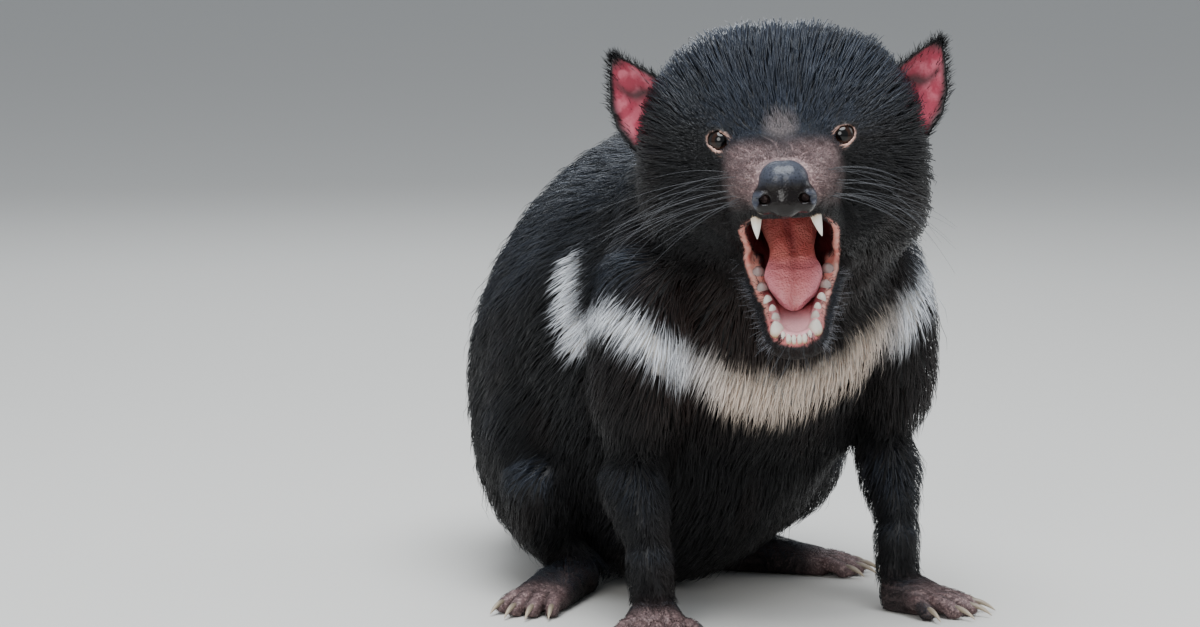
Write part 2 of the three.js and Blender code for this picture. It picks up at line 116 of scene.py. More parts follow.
# Head frame: origin between the eyes, -Y to the nose, +Z up, +X the animal's left
HEAD_TURN = math.radians(-29)
HEAD_ROLL = math.radians(-3)
EYE = np.array([31.5, 0.0, -1.0])
EYE_RADIUS = 6.8
SOLID_EYE = np.array([0, 0, 0.5])
HEAD_AXES = np.array(Matrix.Rotation(HEAD_TURN, 3, "Z") @ Matrix.Rotation(HEAD_ROLL, 3, "Y"))
EYES_MIDDLE = (middle("eye_left") + middle("eye_right")) / 2
HEAD_ORIGIN = EYES_MIDDLE - HEAD_AXES @ SOLID_EYE

# The body is measured from the point on the ground between the forefeet
HEAD_PLACE = [-45.5, -78.5, 275]
BODY_ORIGIN = HEAD_ORIGIN - HEAD_PLACE

# The open jaw hangs a little to the animal's left
JAW_ASIDE = 3.0


def aside(heights):
    """How far the face is moved to its left at heights in the head frame."""
    t = np.clip((-30 - heights) / 32, 0, 1)
    return JAW_ASIDE * t * t * (3 - 2 * t)


def folded(points):
    """Places with x made positive."""
    return np.stack([np.abs(points[:, 0]), points[:, 1], points[:, 2]], axis=1)


def to_head(points):
    """Places in the head frame, with the jaw's lean taken out."""
    h = (points - HEAD_ORIGIN) @ HEAD_AXES
    h[..., 0] -= aside(h[..., 2])
    return h


def from_head(points):
    """Places of the head frame, in the frame of the row."""
    h = np.array(points, float)
    h[..., 0] += aside(h[..., 2])
    return h @ HEAD_AXES.T + HEAD_ORIGIN


def from_body(points):
    """Places measured from the body's origin, in the frame of the row."""
    return np.asarray(points, float) + BODY_ORIGIN


# Sections along the head's middle: along, height of the middle, reach to the
# side, up and down, all to the tips of the coat
SKULL = [
    (-15, -14, 22, 14, 18), (-5, -12, 36, 29, 28), (10, -16, 58, 55, 44),
    (29, -24, 76, 80, 52), (48, -26, 82, 86, 58), (66, -28, 81, 82, 60),
    (84, -30, 70, 70, 54), (104, -30, 54, 54, 42),
]
MUZZLE = [
    (-65, -21, 19, 11, 13), (-54, -21, 24, 16, 17), (-38, -20, 29, 20, 20),
    (-20, -18, 31.5, 23, 24), (0, -16, 35, 28, 28), (16, -16, 41, 35, 30),
]
FLEWS = [
    (-46, -32, 21, 8, 6), (-32, -36, 27, 12, 9), (-16, -40, 29, 16, 14),
    (2, -44, 31, 20, 18), (18, -46, 36, 22, 24),
]
# The jaw is measured along its lip line from the hinge, and below that line
HINGE = np.array([52.0, -28.0])
GAPE = math.radians(40.5)
JAW = [
    (2, 20, 50, 40, 14), (20, 18, 52, 42, 18), (42, 15, 38, 32, 18), (64, 12, 28, 22, 13),
    (86, 10, 22, 15, 9.5), (106, 9, 18, 11, 8.5), (118, 9, 14.5, 7, 6),
]
JAW_END = 119
MOUTH = [
    (-80, -77, 23, 36, 36), (-46, -68, 23.5, 32.5, 32), (-16, -59, 23.5, 24, 25),
    (12, -50, 21, 16, 17), (46, -40, 12, 8, 9),
]
PALATE = [(-52, -37, 12, 6, 3), (-30, -37, 15, 9, 4), (10, -40, 15, 9, 6)]
JAW_FLOOR = [
    (34, 0, 22, 10, 8), (60, 0, 22, 10, 8), (74, 0, 18, 10, 8), (86, 0, 14.2, 7, 6),
    (97, 0, 11.8, 4, 5), (110, 0, 9.5, 2.6, 3),
]
TONGUE = [
    (8, -8, 15, 6, 12), (22, -5, 16.5, 7, 11), (36, -2, 15.2, 7, 10), (47, 0, 11.6, 8, 8.5),
    (56, 1, 11.8, 8, 8), (67, 2, 16, 7, 7), (74, 2.6, 13.6, 6.5, 6), (80, 3.4, 10.8, 5.5, 5),
    (89, 4.6, 8.2, 4, 3.4),
]
# Forms of the head: their sections, how boxy those are, and the lengths over which
# the two ends round off
FORMS = {
    "skull": (SKULL, 2.5, (10, 12)), "muzzle": (MUZZLE, 2.3, (10, 6)),
    "flews": (FLEWS, 2.6, (11, 6)), "jaw": (JAW, 2, (4, 9)), "mouth": (MOUTH, 3.2, (0, 27)),
    "palate": (PALATE, 2, (13, 24)), "jaw_floor": (JAW_FLOOR, 2.6, (22, 9)),
}
# Gums under the rows of teeth: out and back in the upper jaw, out and along in the lower
UPPER_GUM = [(0, -58), (8.6, -55.5), (14.5, -50), (17.5, -40), (19, -28), (19.5, -8)]
LOWER_GUM = [(0, 111), (7, 108.5), (10.4, 102), (11, 94), (13, 84), (16, 73), (18, 60), (18.5, 50)]
UPPER_GUM_HEIGHT = -33.8
GUM = 3.0
CANINE_GUM = (np.array([14.5, -45.5, -31]), np.array([15, -48, -34.5]))


# Places that the sections are smoothed at, and how often
FINE_ROWS = 161
ROW_SMOOTHINGS = 60


def rows_at(rows, along):
    """The sections of a list of rows at any place along it, smoothed between the rows."""
    table = np.array(rows, float)
    fine = np.linspace(table[0, 0], table[-1, 0], FINE_ROWS)
    columns = []
    for k in range(1, table.shape[1]):
        column = np.interp(fine, table[:, 0], table[:, k])
        for _ in range(ROW_SMOOTHINGS):
            column[1:-1] = (column[:-2] + 2 * column[1:-1] + column[2:]) / 4
        columns.append(np.interp(along, fine, column).astype(np.float32))
    return columns


def loft(side, along, height, rows, boxy, domes):
    """About how far points are outside a body of superellipse sections, in mm.

    domes are the lengths over which its two ends round off, 0 for a flat end.
    """
    first, last = rows[0][0], rows[-1][0]
    inside = np.clip(along, first, last)
    centre, wide, up, down = rows_at(rows, inside)
    scale = np.ones_like(inside)
    for dome, end in zip(domes, (inside - first, last - inside)):
        if dome:
            scale *= np.sqrt(np.clip(1 - (1 - np.clip(end / dome, 0, 1)) ** 2, 0, 1))
    rise = height - centre
    reach = np.where(rise > 0, up, down)
    outward = np.abs(side) / wide
    upward = np.abs(rise) / reach
    radius = np.maximum((outward ** boxy + upward ** boxy) ** (1 / boxy), 1e-4)
    slope = np.hypot((outward / radius) ** (boxy - 1) / wide, (upward / radius) ** (boxy - 1) / reach)
    field = (radius - scale) / slope
    return np.hypot(np.maximum(field, 0), along - inside) + np.minimum(field, 0)


def step(low, high, value):
    """0 at low, 1 at high, smooth between."""
    t = np.clip((value - low) / (high - low), 0, 1)
    return t * t * (3 - 2 * t)


def blend_min(a, b, soft):
    """The union of two fields, with a fillet."""
    h = np.clip(0.5 + (b - a) / (2 * soft), 0, 1)
    return b + (a - b) * h - soft * h * (1 - h)


def cut(field, cutter, soft):
    """A field with another one's inside taken away, with a rounded edge."""
    return -blend_min(-field, cutter, soft)


def jaw_coordinates(y, z):
    """Along the jaw from its hinge, and below its lip line."""
    forward, lower = HINGE[0] - y, HINGE[1] - z
    along = forward * math.cos(GAPE) + lower * math.sin(GAPE)
    below = lower * math.cos(GAPE) - forward * math.sin(GAPE)
    return along, below


def jaw_point(x, along, below):
    """A point of the jaw in the head frame."""
    y = HINGE[0] - along * math.cos(GAPE) + below * math.sin(GAPE)
    z = HINGE[1] - along * math.sin(GAPE) - below * math.cos(GAPE)
    return np.stack(np.broadcast_arrays(x, y, z), axis=-1)


def jaw_half_width(along):
    """The jaw's half width to the tips of the coat."""
    return np.interp(along, *np.array(JAW)[:, [0, 2]].T)


def gum_sink(along):
    """How much lower the gum and its teeth stand at the back of the jaw."""
    return 4.5 * step(92, 72, along)


def mouth_space(x, y, z):
    """The hollow of the open mouth, in the head frame."""
    along, below = jaw_coordinates(y, z)
    hollow = loft(x, y, z, *FORMS["mouth"])
    hollow = blend_min(hollow, loft(x, y, z, *FORMS["palate"]), 2)
    return blend_min(hollow, loft(x, along, below, *FORMS["jaw_floor"]), 2)


def head_coat_depth(x, y, z, hollow):
    """How deep the coat is on the head: least at the muzzle, lips and eyes."""
    out = np.sqrt((np.abs(x) - EYE[0]) ** 2 + (y - EYE[1]) ** 2 + (z - EYE[2]) ** 2)
    depth = 1.2 + 8.3 * step(-16, 34, y + 0.25 * (z + 20))
    depth = np.minimum(depth, 1.4 + 0.3 * np.maximum(hollow - 2, 0))
    return np.minimum(depth, 1.3 + 0.3 * np.maximum(out - 9, 0))


# Feet: middle and radius of the wrist or ankle, how far the coat thins around the
# foot, its place on the floor and turn, sections of the sole from the toes back
# (along, height, side, up, down) and toes (x, y, spread, length, radius, claw)
FOREFOOT = {
    "limb": {"left": (78, 7, 40), "right": (-78, 7, 40)},
    "joint": 10.5,
    "share": (26, 14),
    "place": {"left": (79, 2), "right": (-77, 2)},
    "turn": {"left": 37, "right": -27},
    "sole": [(-23, 7, 17, 6, 11), (-13, 9, 18, 9, 14), (0, 10, 15, 11, 15), (12, 9, 9, 8, 13)],
    "toes": [
        (-15, -12, -0.62, 19, 4.6, 10), (-9, -19, -0.25, 21, 4.8, 11), (-1, -21, -0.02, 22, 5, 11),
        (7, -19, 0.2, 21, 4.8, 11), (13, -12, 0.5, 18, 4.5, 11),
    ],
}
HINDFOOT = {
    "limb": {"left": (77, 147, 44), "right": (-78, 134, 44)},
    "joint": 11.5,
    "share": (24, 12),
    "place": {"left": (50, 158), "right": (-59, 130)},
    "turn": {"left": 50, "right": -48},
    "sole": [
        (-66, 7, 15, 5, 10), (-56, 8, 17, 8, 12), (-30, 10, 15, 10, 14),
        (0, 10, 13, 12, 14), (12, 8, 8, 7, 11),
    ],
    "toes": [
        (-10, -58, -0.22, 21, 4.6, 9), (-3, -60, -0.06, 23, 4.8, 10),
        (4, -60, 0.1, 23, 4.8, 10), (11, -57, 0.28, 20, 4.5, 9),
    ],
}


# How boxy the sections of a sole are
SOLE_BOXY = 2.4


def foot_axes(spec, side):
    """The origin and the axes of a foot, with +X away from the midline."""
    turn = math.radians(spec["turn"][side])
    mirror = SIDES[side]
    axes = np.array([
        [math.cos(turn) * mirror, -math.sin(turn), 0],
        [math.sin(turn) * mirror, math.cos(turn), 0],
        [0, 0, 1],
    ])
    return from_body((*spec["place"][side], 0)), axes


def feet():
    """The measures, side, origin and axes of each foot."""
    for spec in (FOREFOOT, HINDFOOT):
        for side in SIDES:
            yield spec, side, *foot_axes(spec, side)


def toe_line(toe, parts, heights):
    """Points along a toe in its foot's frame, at parts of its length."""
    x, y, spread, length = toe[:4]
    parts = np.asarray(parts, float)
    return np.stack([
        x + math.sin(spread) * length * parts,
        y - math.cos(spread) * length * parts,
        np.broadcast_to(heights, parts.shape),
    ], axis=-1)


def capsule(p, start, end, radius_start, radius_end):
    """How far points are outside a rod with round ends."""
    axis = end - start
    t = np.clip(((p - start) @ axis) / (axis @ axis), 0, 1)
    away = np.linalg.norm(p - start - t[..., None] * axis, axis=-1)
    return away - (radius_start + (radius_end - radius_start) * t)


def foot_field(p, spec, limb):
    """A foot in its own frame: wrist up to the limb, pad, toes with knuckles and toe pads."""
    field = loft(p[..., 0], p[..., 1], p[..., 2], spec["sole"], SOLE_BOXY, (5, 6)) + 1.5
    wrist = capsule(p, np.array([0, 2, 11.0]), limb, spec["joint"] - 1, spec["joint"])
    field = blend_min(field, wrist, 4)
    for toe in spec["toes"]:
        radius = toe[4] - 0.6
        line = toe_line(toe, (-0.3, 0.35, 0.72, 0.97), (7.5, 7.8, 5.6, 4.0))
        digit = capsule(p, line[0], line[1], radius, radius)
        digit = blend_min(digit, capsule(p, line[1], line[2], radius, radius * 0.95), 1)
        digit = blend_min(digit, capsule(p, line[2], line[3], radius * 0.95, radius * 0.7), 1)
        pad = toe_line(toe, (0.8,), (2.4,))[0]
        digit = blend_min(digit, np.linalg.norm(p - pad, axis=-1) - radius * 0.75, 1.5)
        field = blend_min(field, digit, 1.2)
    return field


# Bones that the coat's depth and lie are measured from, in the body's measure.
# Each has its ends, its reach, the way its hair lies and how deep its coat is.
TRUNK_LIE = (0, 0.6, -0.8)
BONES = [
    ((-33, -40, 246), (-4, 12, 222), 72, (0.1, 0.55, -0.8), 10.5),
    ((-4, 12, 222), (0, 80, 192), 80, (0, 0.75, -0.6), 11),
    ((0, 20, 166), (0, 128, 142), 100, TRUNK_LIE, 11),
    ((0, 128, 142), (0, 222, 95), 100, (0, 0.7, -0.7), 11),
    ((0, 222, 95), (0, 276, 60), 66, (0, 0.85, -0.5), 10),
]
LIMB_BONES = [
    ((58, 30, 216), (80, 34, 100), 34, (0.1, 0.2, -1), 8.5),
    ((80, 34, 92), (78, 12, 50), 24, (0.1, 0.35, -1), 5),
    ((78, 12, 50), (77, 1, 20), 15, (0, 0, -1), 3.6),
    ((54, 214, 102), (80, 140, 86), 56, (0.1, 0.35, -0.9), 9.5),
    ((90, 114, 84), (78, 136, 40), 24, (0.1, 0.2, -1), 6),
    ((78, 136, 40), (66, 146, 20), 17, (0, -0.4, -0.8), 4),
]
TAIL_LINE = [
    (0, 262, 42), (10, 306, 30), (40, 352, 25), (88, 386, 19), (140, 402, 12.5), (184, 402, 6.5),
]
TAIL_REACH = [36, 31, 27, 21, 14, 8]
TAIL_DEPTH = [10, 9, 8, 7, 5.5, 3.5]


def all_bones():
    """Every bone as arrays: starts, ends, reaches, ways and depths."""
    bones = [(a, b, reach, way, depth) for a, b, reach, way, depth in BONES]
    for mirror in SIDES.values():
        for a, b, reach, way, depth in LIMB_BONES:
            flip = np.array([mirror, 1, 1])
            bones.append((a * flip, b * flip, reach, way * flip, depth))
    for k in range(len(TAIL_LINE) - 1):
        a, b = np.array(TAIL_LINE[k], float), np.array(TAIL_LINE[k + 1], float)
        bones.append((a, b, TAIL_REACH[k], b - a, TAIL_DEPTH[k]))
    starts, ends, reaches, ways, depths = zip(*bones)
    return (from_body(starts), from_body(ends), np.array(reaches, float),
            unit(np.array(ways, float)), np.array(depths, float))


def bone_weights(points):
    """How much each bone rules at each point, adding up to 1."""
    starts, ends, reaches = all_bones()[:3]
    weights = np.empty((len(points), len(starts)))
    for k, (a, b, reach) in enumerate(zip(starts, ends, reaches)):
        axis = b - a
        t = np.clip(((points - a) @ axis) / (axis @ axis), 0, 1)
        away = np.linalg.norm(points - a - t[:, None] * axis, axis=1)
        weights[:, k] = np.exp(-6 * np.maximum(away / reach - 0.75, 0))
    return weights / weights.sum(1, keepdims=True)


def head_share(points):
    """1 on the head, 0 on the body."""
    h = to_head(points)
    skull = np.sqrt((h[:, 0] / 84) ** 2 + ((h[:, 1] - 42) / 78) ** 2 + ((h[:, 2] + 20) / 84) ** 2)
    along, below = jaw_coordinates(h[:, 1], h[:, 2])
    near_jaw = loft(h[:, 0], along, below, JAW, 2, (0, 8))
    share = np.maximum(step(1.22, 1.0, skull), step(10, 2, near_jaw) * step(20, 45, along))
    face = step(20, 0, h[:, 1]) * step(60, 30, np.abs(h[:, 0])) * step(-120, -100, h[:, 2])
    return np.maximum(share, face)


def foot_share(points):
    """1 on the feet, 0 above them."""
    share = np.zeros(len(points))
    for spec, _, origin, axes in feet():
        p = (points - origin) @ axes
        near = loft(p[:, 0], p[:, 1], p[:, 2], spec["sole"], SOLE_BOXY, (0, 0))
        share = np.maximum(share, step(*spec["share"], near) * step(26, 15, points[:, 2]))
    return share


def toe_share(points):
    """1 on the toes, 0 above the feet."""
    share = np.zeros(len(points))
    for spec, _, origin, axes in feet():
        first = spec["sole"][1][0]
        p = (points - origin) @ axes
        near = step(26, 20, np.abs(p[:, 0])) * step(24, 16, p[:, 2]) * step(-100, -90, p[:, 1])
        share = np.maximum(share, near * step(first + 12, first - 8, p[:, 1]))
    return share


# Skin

# The grid that the solids are joined on: its spacing in mm and its reach in points
VOXEL = 2.0
VOXEL_REACH = 13
# How far the solids grow to close their seams, and how often they are softened
SEAM = 0.8
SOFTENINGS = 10
# How far the skin's field is kept, and its room around the solids
NARROW = 6.0
ROOM = 6
# The boxes of a foot and of the head in their own frames
FOOT_REACH = ((-44, 44), (-92, 36), (-6, 60))
HEAD_REACH = ((-90, 90), (-80, 125), (-125, 66))


def level_set(points, **faces):
    """A grid of how far places are outside a closed shape."""
    transform = vdb.createLinearTransform(voxelSize=VOXEL)
    return vdb.FloatGrid.createLevelSetFromPolygons(
        points, transform=transform, halfWidth=VOXEL_REACH, **faces
    )


def flesh_distance(axes):
    """How far each point of a grid is outside the solids of the flesh, seams closed."""
    points, corners, count = [], [], 0
    for node in FLESH:
        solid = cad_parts[node]
        points.append(mesh_points(solid)[0])
        corners.append(mesh_triangles(solid) + count)
        count += len(points[-1])
    joined = level_set(
        np.concatenate(points), triangles=np.concatenate(corners).astype(np.uint32)
    )
    hull_points, hull_quads = joined.convertToQuads(SEAM)
    grid = level_set(hull_points, quads=hull_quads)
    low = np.floor([a[0] / VOXEL for a in axes]).astype(int) - 1
    high = np.ceil([a[-1] / VOXEL for a in axes]).astype(int) + 2
    field = np.empty(high - low, np.float32)
    grid.copyToArray(field, ijk=tuple(int(v) for v in low))
    for _ in range(SOFTENINGS):
        for axis in range(3):
            field = soften(field, axis)
    return resampled(field, [a / VOXEL - first for a, first in zip(axes, low)]) + SEAM


def resampled(field, places):
    """A field between its points, at places counted in points along each axis."""
    for axis, where in enumerate(places):
        below = np.minimum(np.floor(where).astype(int), field.shape[axis] - 2)
        part = (where - below).astype(np.float32)
        part = part.reshape([-1 if k == axis else 1 for k in range(3)])
        field = np.take(field, below, axis) * (1 - part) + np.take(field, below + 1, axis) * part
    return field


def soften(field, axis):
    """A field averaged with its neighbours along one axis."""
    result = field.copy()
    inner = [slice(None)] * 3
    before, after = list(inner), list(inner)
    inner[axis], before[axis], after[axis] = slice(1, -1), slice(0, -2), slice(2, None)
    inner, before, after = tuple(inner), tuple(before), tuple(after)
    result[inner] = field[inner] * 0.5 + (field[before] + field[after]) * 0.25
    return result


def spaced(*stretches):
    """Coordinates with their own step on each stretch."""
    parts = [np.arange(start, end, pace) for start, end, pace in stretches]
    return np.concatenate([*parts, [stretches[-1][1]]]).astype(np.float32)


def block(axes, low, high):
    """The slices of the axes that a box covers."""
    return tuple(
        slice(max(0, int(np.searchsorted(a, lo)) - 1), int(np.searchsorted(a, hi)) + 1)
        for a, lo, hi in zip(axes, low, high)
    )


def grid_points(axes, part):
    """The points of one block of the grid, as one array."""
    return np.stack(np.meshgrid(*(a[s] for a, s in zip(axes, part)), indexing="ij"), axis=-1)


def body_coat_depth(points):
    """How deep the coat is on the body and its limbs."""
    depths = all_bones()[4]
    depth = bone_weights(points) @ depths
    depth *= 0.35 + 0.65 * step(0, 26, points[:, 2])
    return np.minimum(depth, 1.2 + 9 * (1 - foot_share(points)))


def depth_grid(axes):
    """The body's coat depth over the whole grid, worked out on a coarse one."""
    pace = 7
    coarse = [np.linspace(a[0], a[-1], max(2, int((a[-1] - a[0]) / pace))) for a in axes]
    points = np.stack(np.meshgrid(*coarse, indexing="ij"), axis=-1)
    field = body_coat_depth(points.reshape(-1, 3)).reshape(points.shape[:3]).astype(np.float32)
    places = [np.interp(a, rough, np.arange(len(rough))) for a, rough in zip(axes, coarse)]
    return resampled(field, places)


# The opening between the lids faces forward and a little outward
LOOK = unit(np.array([0.22, -0.97, 0.1]))
LID = {"thick": 1.3, "half_width": 6.0, "half_height": 4.6, "slant": 0.25}


def lid_opening(from_eye):
    """About how far places around an eye are outside the opening of its lids, in mm."""
    over = unit(np.cross(LOOK, [0, 0, 1.0]))
    across, rise = from_eye @ -over, from_eye @ unit(np.cross(over, LOOK))
    rise = rise - LID["slant"] * across
    slit = (np.abs(across) / LID["half_width"]) ** 1.7 + (np.abs(rise) / LID["half_height"]) ** 2
    return np.maximum((slit ** 0.5 - 1) * LID["half_height"], -from_eye @ LOOK)


def add_head(axes, field, depth, inner, closed):
    """Writes the head's smooth form, mouth and lids into its block of the inner field.

    closed takes the same form before the mouth is cut into it.
    """
    corners = from_head(list(itertools.product(*HEAD_REACH)))
    part = block(axes, corners.min(0), corners.max(0))
    h = to_head(grid_points(axes, part).astype(np.float32)).astype(np.float32)
    x, y, z = np.abs(h[..., 0]), h[..., 1], h[..., 2]
    along, below = jaw_coordinates(y, z)
    hollow = mouth_space(x, y, z)
    coat = head_coat_depth(x, y, z, hollow)
    share = head_share(grid_points(axes, part).reshape(-1, 3)).reshape(x.shape)
    merged = depth[part] + (coat - depth[part]) * share
    body = field[part] + merged
    head = loft(x, y, z, *FORMS["skull"])
    head = blend_min(head, loft(x, y, z, *FORMS["muzzle"]), 6)
    head = blend_min(head, loft(x, y, z, *FORMS["flews"]), 5)
    head = blend_min(head, loft(x, along, below, *FORMS["jaw"]), 4) + coat
    body = blend_min(body + 0.5, head, 3)
    from_eye = np.stack([x - EYE[0], y - EYE[1], z - EYE[2]], axis=-1)
    away = np.linalg.norm(from_eye, axis=-1)
    body = blend_min(body, away - (EYE_RADIUS + LID["thick"]), 2.5)
    body = cut(body, lid_opening(from_eye), 0.6)
    body = cut(body, away - EYE_RADIUS - 0.15, 0.3)
    closed[part] = body
    body = cut(body, hollow, 2.0)
    inner[part] = blend_min(body, gum_field(np.stack([x, y, z], axis=-1)), 1.5)


def gum_field(p):
    """The gums that the teeth stand in, in the head frame with x made positive."""
    upper = [(x, y, UPPER_GUM_HEIGHT) for x, y in UPPER_GUM]
    lower = [jaw_point(x, along, GUM + gum_sink(along)) for x, along in LOWER_GUM]
    far_outside = 50
    field = np.full(p.shape[:-1], far_outside, np.float32)
    for line in (np.array(upper, float), np.array(lower, float)):
        for start, end in zip(line[:-1], line[1:]):
            field = np.minimum(field, capsule(p, start, end, GUM, GUM))
    return np.minimum(field, capsule(p, *CANINE_GUM, 4.6, 4.2))


def add_feet(axes, field):
    """Joins the feet to the inner field."""
    for spec, side, origin, turn in feet():
        limb = (from_body(spec["limb"][side]) - origin) @ turn
        corners = origin + np.array(list(itertools.product(*FOOT_REACH))) @ turn.T
        part = block(axes, corners.min(0), corners.max(0))
        p = ((grid_points(axes, part) - origin) @ turn).astype(np.float32)
        field[part] = blend_min(field[part], foot_field(p, spec, limb), 3)


def sampled(field, axes, points):
    """The field of a grid at any places."""
    total = 0
    where = [np.interp(points[:, k], axes[k], np.arange(len(axes[k]))) for k in range(3)]
    low = [np.minimum(np.floor(w).astype(int), len(a) - 2) for w, a in zip(where, axes)]
    part = [w - l for w, l in zip(where, low)]
    for corner in np.ndindex(2, 2, 2):
        weight = np.prod([p if c else 1 - p for p, c in zip(part, corner)], axis=0)
        total = total + weight * field[tuple(l + c for l, c in zip(low, corner))]
    return total


def skin_surface():
    """Points in mm and quads of the whole skin, and its form with the mouth closed."""
    low, high = (np.array(corner) / MM for corner in SOLID_BOX)
    face, heel = from_head((0, 106, 0))[1], from_body((0, 172, 0))[1]
    axes = [
        spaced((low[0] - ROOM, high[0] + ROOM, 1.3)),
        spaced((low[1] - 4, face, 1.25), (face, heel, 1.6), (heel, high[1] + ROOM, 2.6)),
        spaced((-ROOM, 25, 1.1), (25, 150, 2.3), (150, high[2] + ROOM, 1.25)),
    ]
    field = flesh_distance(axes)
    depth = depth_grid(axes)
    inner = field + depth
    far_outside = 20
    closed = np.full_like(inner, far_outside)
    add_head(axes, field, depth, inner, closed)
    add_feet(axes, inner)
    inner = np.maximum(inner, (FLOOR_GAP - axes[2]).reshape(1, 1, -1))
    return *surface(inner, axes), (closed, axes)


def surface(field, axes):
    """Points in mm and quads of a field's zero surface, on a grid with its own spacing."""
    grid = vdb.FloatGrid(NARROW)
    grid.copyFromArray(np.clip(field, -NARROW, NARROW).astype(np.float32))
    points, quads = grid.convertToQuads(0.0)
    points = np.stack(
        [np.interp(points[:, k], np.arange(len(axes[k])), axes[k]) for k in range(3)], axis=-1
    )
    return points, quads.astype(np.int64)


# Meshes

def set_marks(mesh, marks):
    """Writes values at the points of a mesh as attributes."""
    for key, values in marks.items():
        layer = mesh.attributes.new(key, "FLOAT", "POINT")
        layer.data.foreach_set("value", np.asarray(values, np.float32).ravel())


def linked(name, data):
    """A new object in the scene."""
    item = bpy.data.objects.new(name, data)
    bpy.context.scene.collection.objects.link(item)
    return item


def add_mesh(name, points, faces, marks=None):
    """A new mesh object from points in mm and faces with one number of corners."""
    mesh = bpy.data.meshes.new(name)
    faces = np.asarray(faces, np.int32)
    corners = faces.shape[1]
    mesh.vertices.add(len(points))
    mesh.vertices.foreach_set("co", (np.asarray(points) * MM).astype(np.float32).ravel())
    mesh.loops.add(faces.size)
    mesh.loops.foreach_set("vertex_index", faces.ravel())
    mesh.polygons.add(len(faces))
    mesh.polygons.foreach_set("loop_start", np.arange(0, faces.size, corners, dtype=np.int32))
    mesh.update(calc_edges=True)
    mesh.validate()
    set_marks(mesh, marks or {})
    mesh.polygons.foreach_set("use_smooth", np.full(len(mesh.polygons), True))
    return linked(name, mesh)


def mesh_points(item):
    """Points and normals of a mesh object, in mm."""
    mesh = item.data
    points = np.empty(len(mesh.vertices) * 3, np.float32)
    mesh.vertices.foreach_get("co", points)
    normals = np.empty(len(mesh.vertices) * 3, np.float32)
    mesh.vertex_normals.foreach_get("vector", normals)
    return points.reshape(-1, 3) / MM, normals.reshape(-1, 3)


def mesh_triangles(item):
    """Corner numbers of a mesh object that is all triangles."""
    mesh = item.data
    corners = np.empty(len(mesh.polygons) * 3, np.int32)
    mesh.polygons.foreach_get("vertices", corners)
    return corners.reshape(-1, 3)


def bake(item, modifier):
    """Makes the result of an object's one modifier its own mesh."""
    graph = bpy.context.evaluated_depsgraph_get()
    result = bpy.data.meshes.new_from_object(item.evaluated_get(graph))
    item.modifiers.remove(modifier)
    item.data = result


def apply_modifier(item, kind, **settings):
    """Adds one modifier and makes its result the object's own mesh."""
    modifier = item.modifiers.new(kind, kind)
    for key, value in settings.items():
        setattr(modifier, key, value)
    bake(item, modifier)


def outward(faces, points):
    """Faces turned round if they enclose a negative volume."""
    a, b, c = points[faces[:, 0]], points[faces[:, 1]], points[faces[:, 2]]
    return faces if np.einsum("ij,ij->", a, np.cross(b, c)) > 0 else faces[:, ::-1]


# Materials

class Socket:
    """One output of a material's nodes. Sums and products with it add Math nodes."""

    def __init__(self, maker, socket):
        self.maker = maker
        self.socket = socket

    def __add__(self, other):
        return self.maker.math("ADD", self, other)

    def __sub__(self, other):
        return self.maker.math("SUBTRACT", self, other)

    def __rsub__(self, other):
        return self.maker.math("SUBTRACT", other, self)

    def __mul__(self, other):
        return self.maker.math("MULTIPLY", self, other)

    __radd__ = __add__
    __rmul__ = __mul__


class Finish:
    """The nodes of one material, around one Principled shader."""

    def __init__(self, name, **constants):
        self.material = bpy.data.materials.new(name)
        self.material.use_nodes = True
        self.tree = self.material.node_tree
        self.shader = self.tree.nodes["Principled BSDF"]
        for key, value in constants.items():
            self.shader.inputs[key.replace("_", " ")].default_value = value

    def node(self, kind, settings=None, inputs=None, output=0):
        """A node of a type, with its settings, then its inputs' values or links."""
        made = self.tree.nodes.new(kind)
        for key, value in (settings or {}).items():
            setattr(made, key, value)
        for key, value in (inputs or {}).items():
            if isinstance(value, Socket):
                self.tree.links.new(value.socket, made.inputs[key])
            else:
                made.inputs[key].default_value = value
        return Socket(self, made.outputs[output])

    def math(self, operation, first, second):
        return self.node("ShaderNodeMath", {"operation": operation}, {0: first, 1: second})

    def mix(self, factor, first, second):
        """One colour, going over to another as the factor goes to 1."""
        def colour(value):
            return value if isinstance(value, Socket) else (*value, 1)

        settings = {"data_type": "RGBA"}
        return self.node("ShaderNodeMix", settings, {0: factor, 6: colour(first), 7: colour(second)}, 2)

    def between(self, value, low, high):
        """0 below low, 1 above high, smooth between."""
        settings = {"interpolation_type": "SMOOTHSTEP"}
        return self.node("ShaderNodeMapRange", settings, {0: value, 1: low, 2: high})

    def mask(self, name):
        return self.node("ShaderNodeAttribute", {"attribute_name": name}, output="Fac")

    def place(self):
        return self.node("ShaderNodeTexCoord", output="Object")

    def stretched(self, scale):
        """Object coordinates drawn out along the axes."""
        return self.node("ShaderNodeMapping", inputs={"Vector": self.place(), "Scale": scale})

    def noise(self, scale, detail, vector=None):
        inputs = {"Vector": vector or self.place(), "Scale": scale, "Detail": detail}
        return self.node("ShaderNodeTexNoise", inputs=inputs)

    def cells(self, scale):
        inputs = {"Vector": self.place(), "Scale": scale}
        return self.node("ShaderNodeTexVoronoi", inputs=inputs)

    def bump(self, height, distance, strength):
        normal = self.node(
            "ShaderNodeBump", inputs={"Height": height, "Distance": distance, "Strength": strength}
        )
        self.link("Normal", normal)

    def link(self, key, value):
        self.tree.links.new(value.socket, self.shader.inputs[key])

    def finish(self, **links):
        for key, value in links.items():
            self.link(key.replace("_", " "), value)
        return self.material


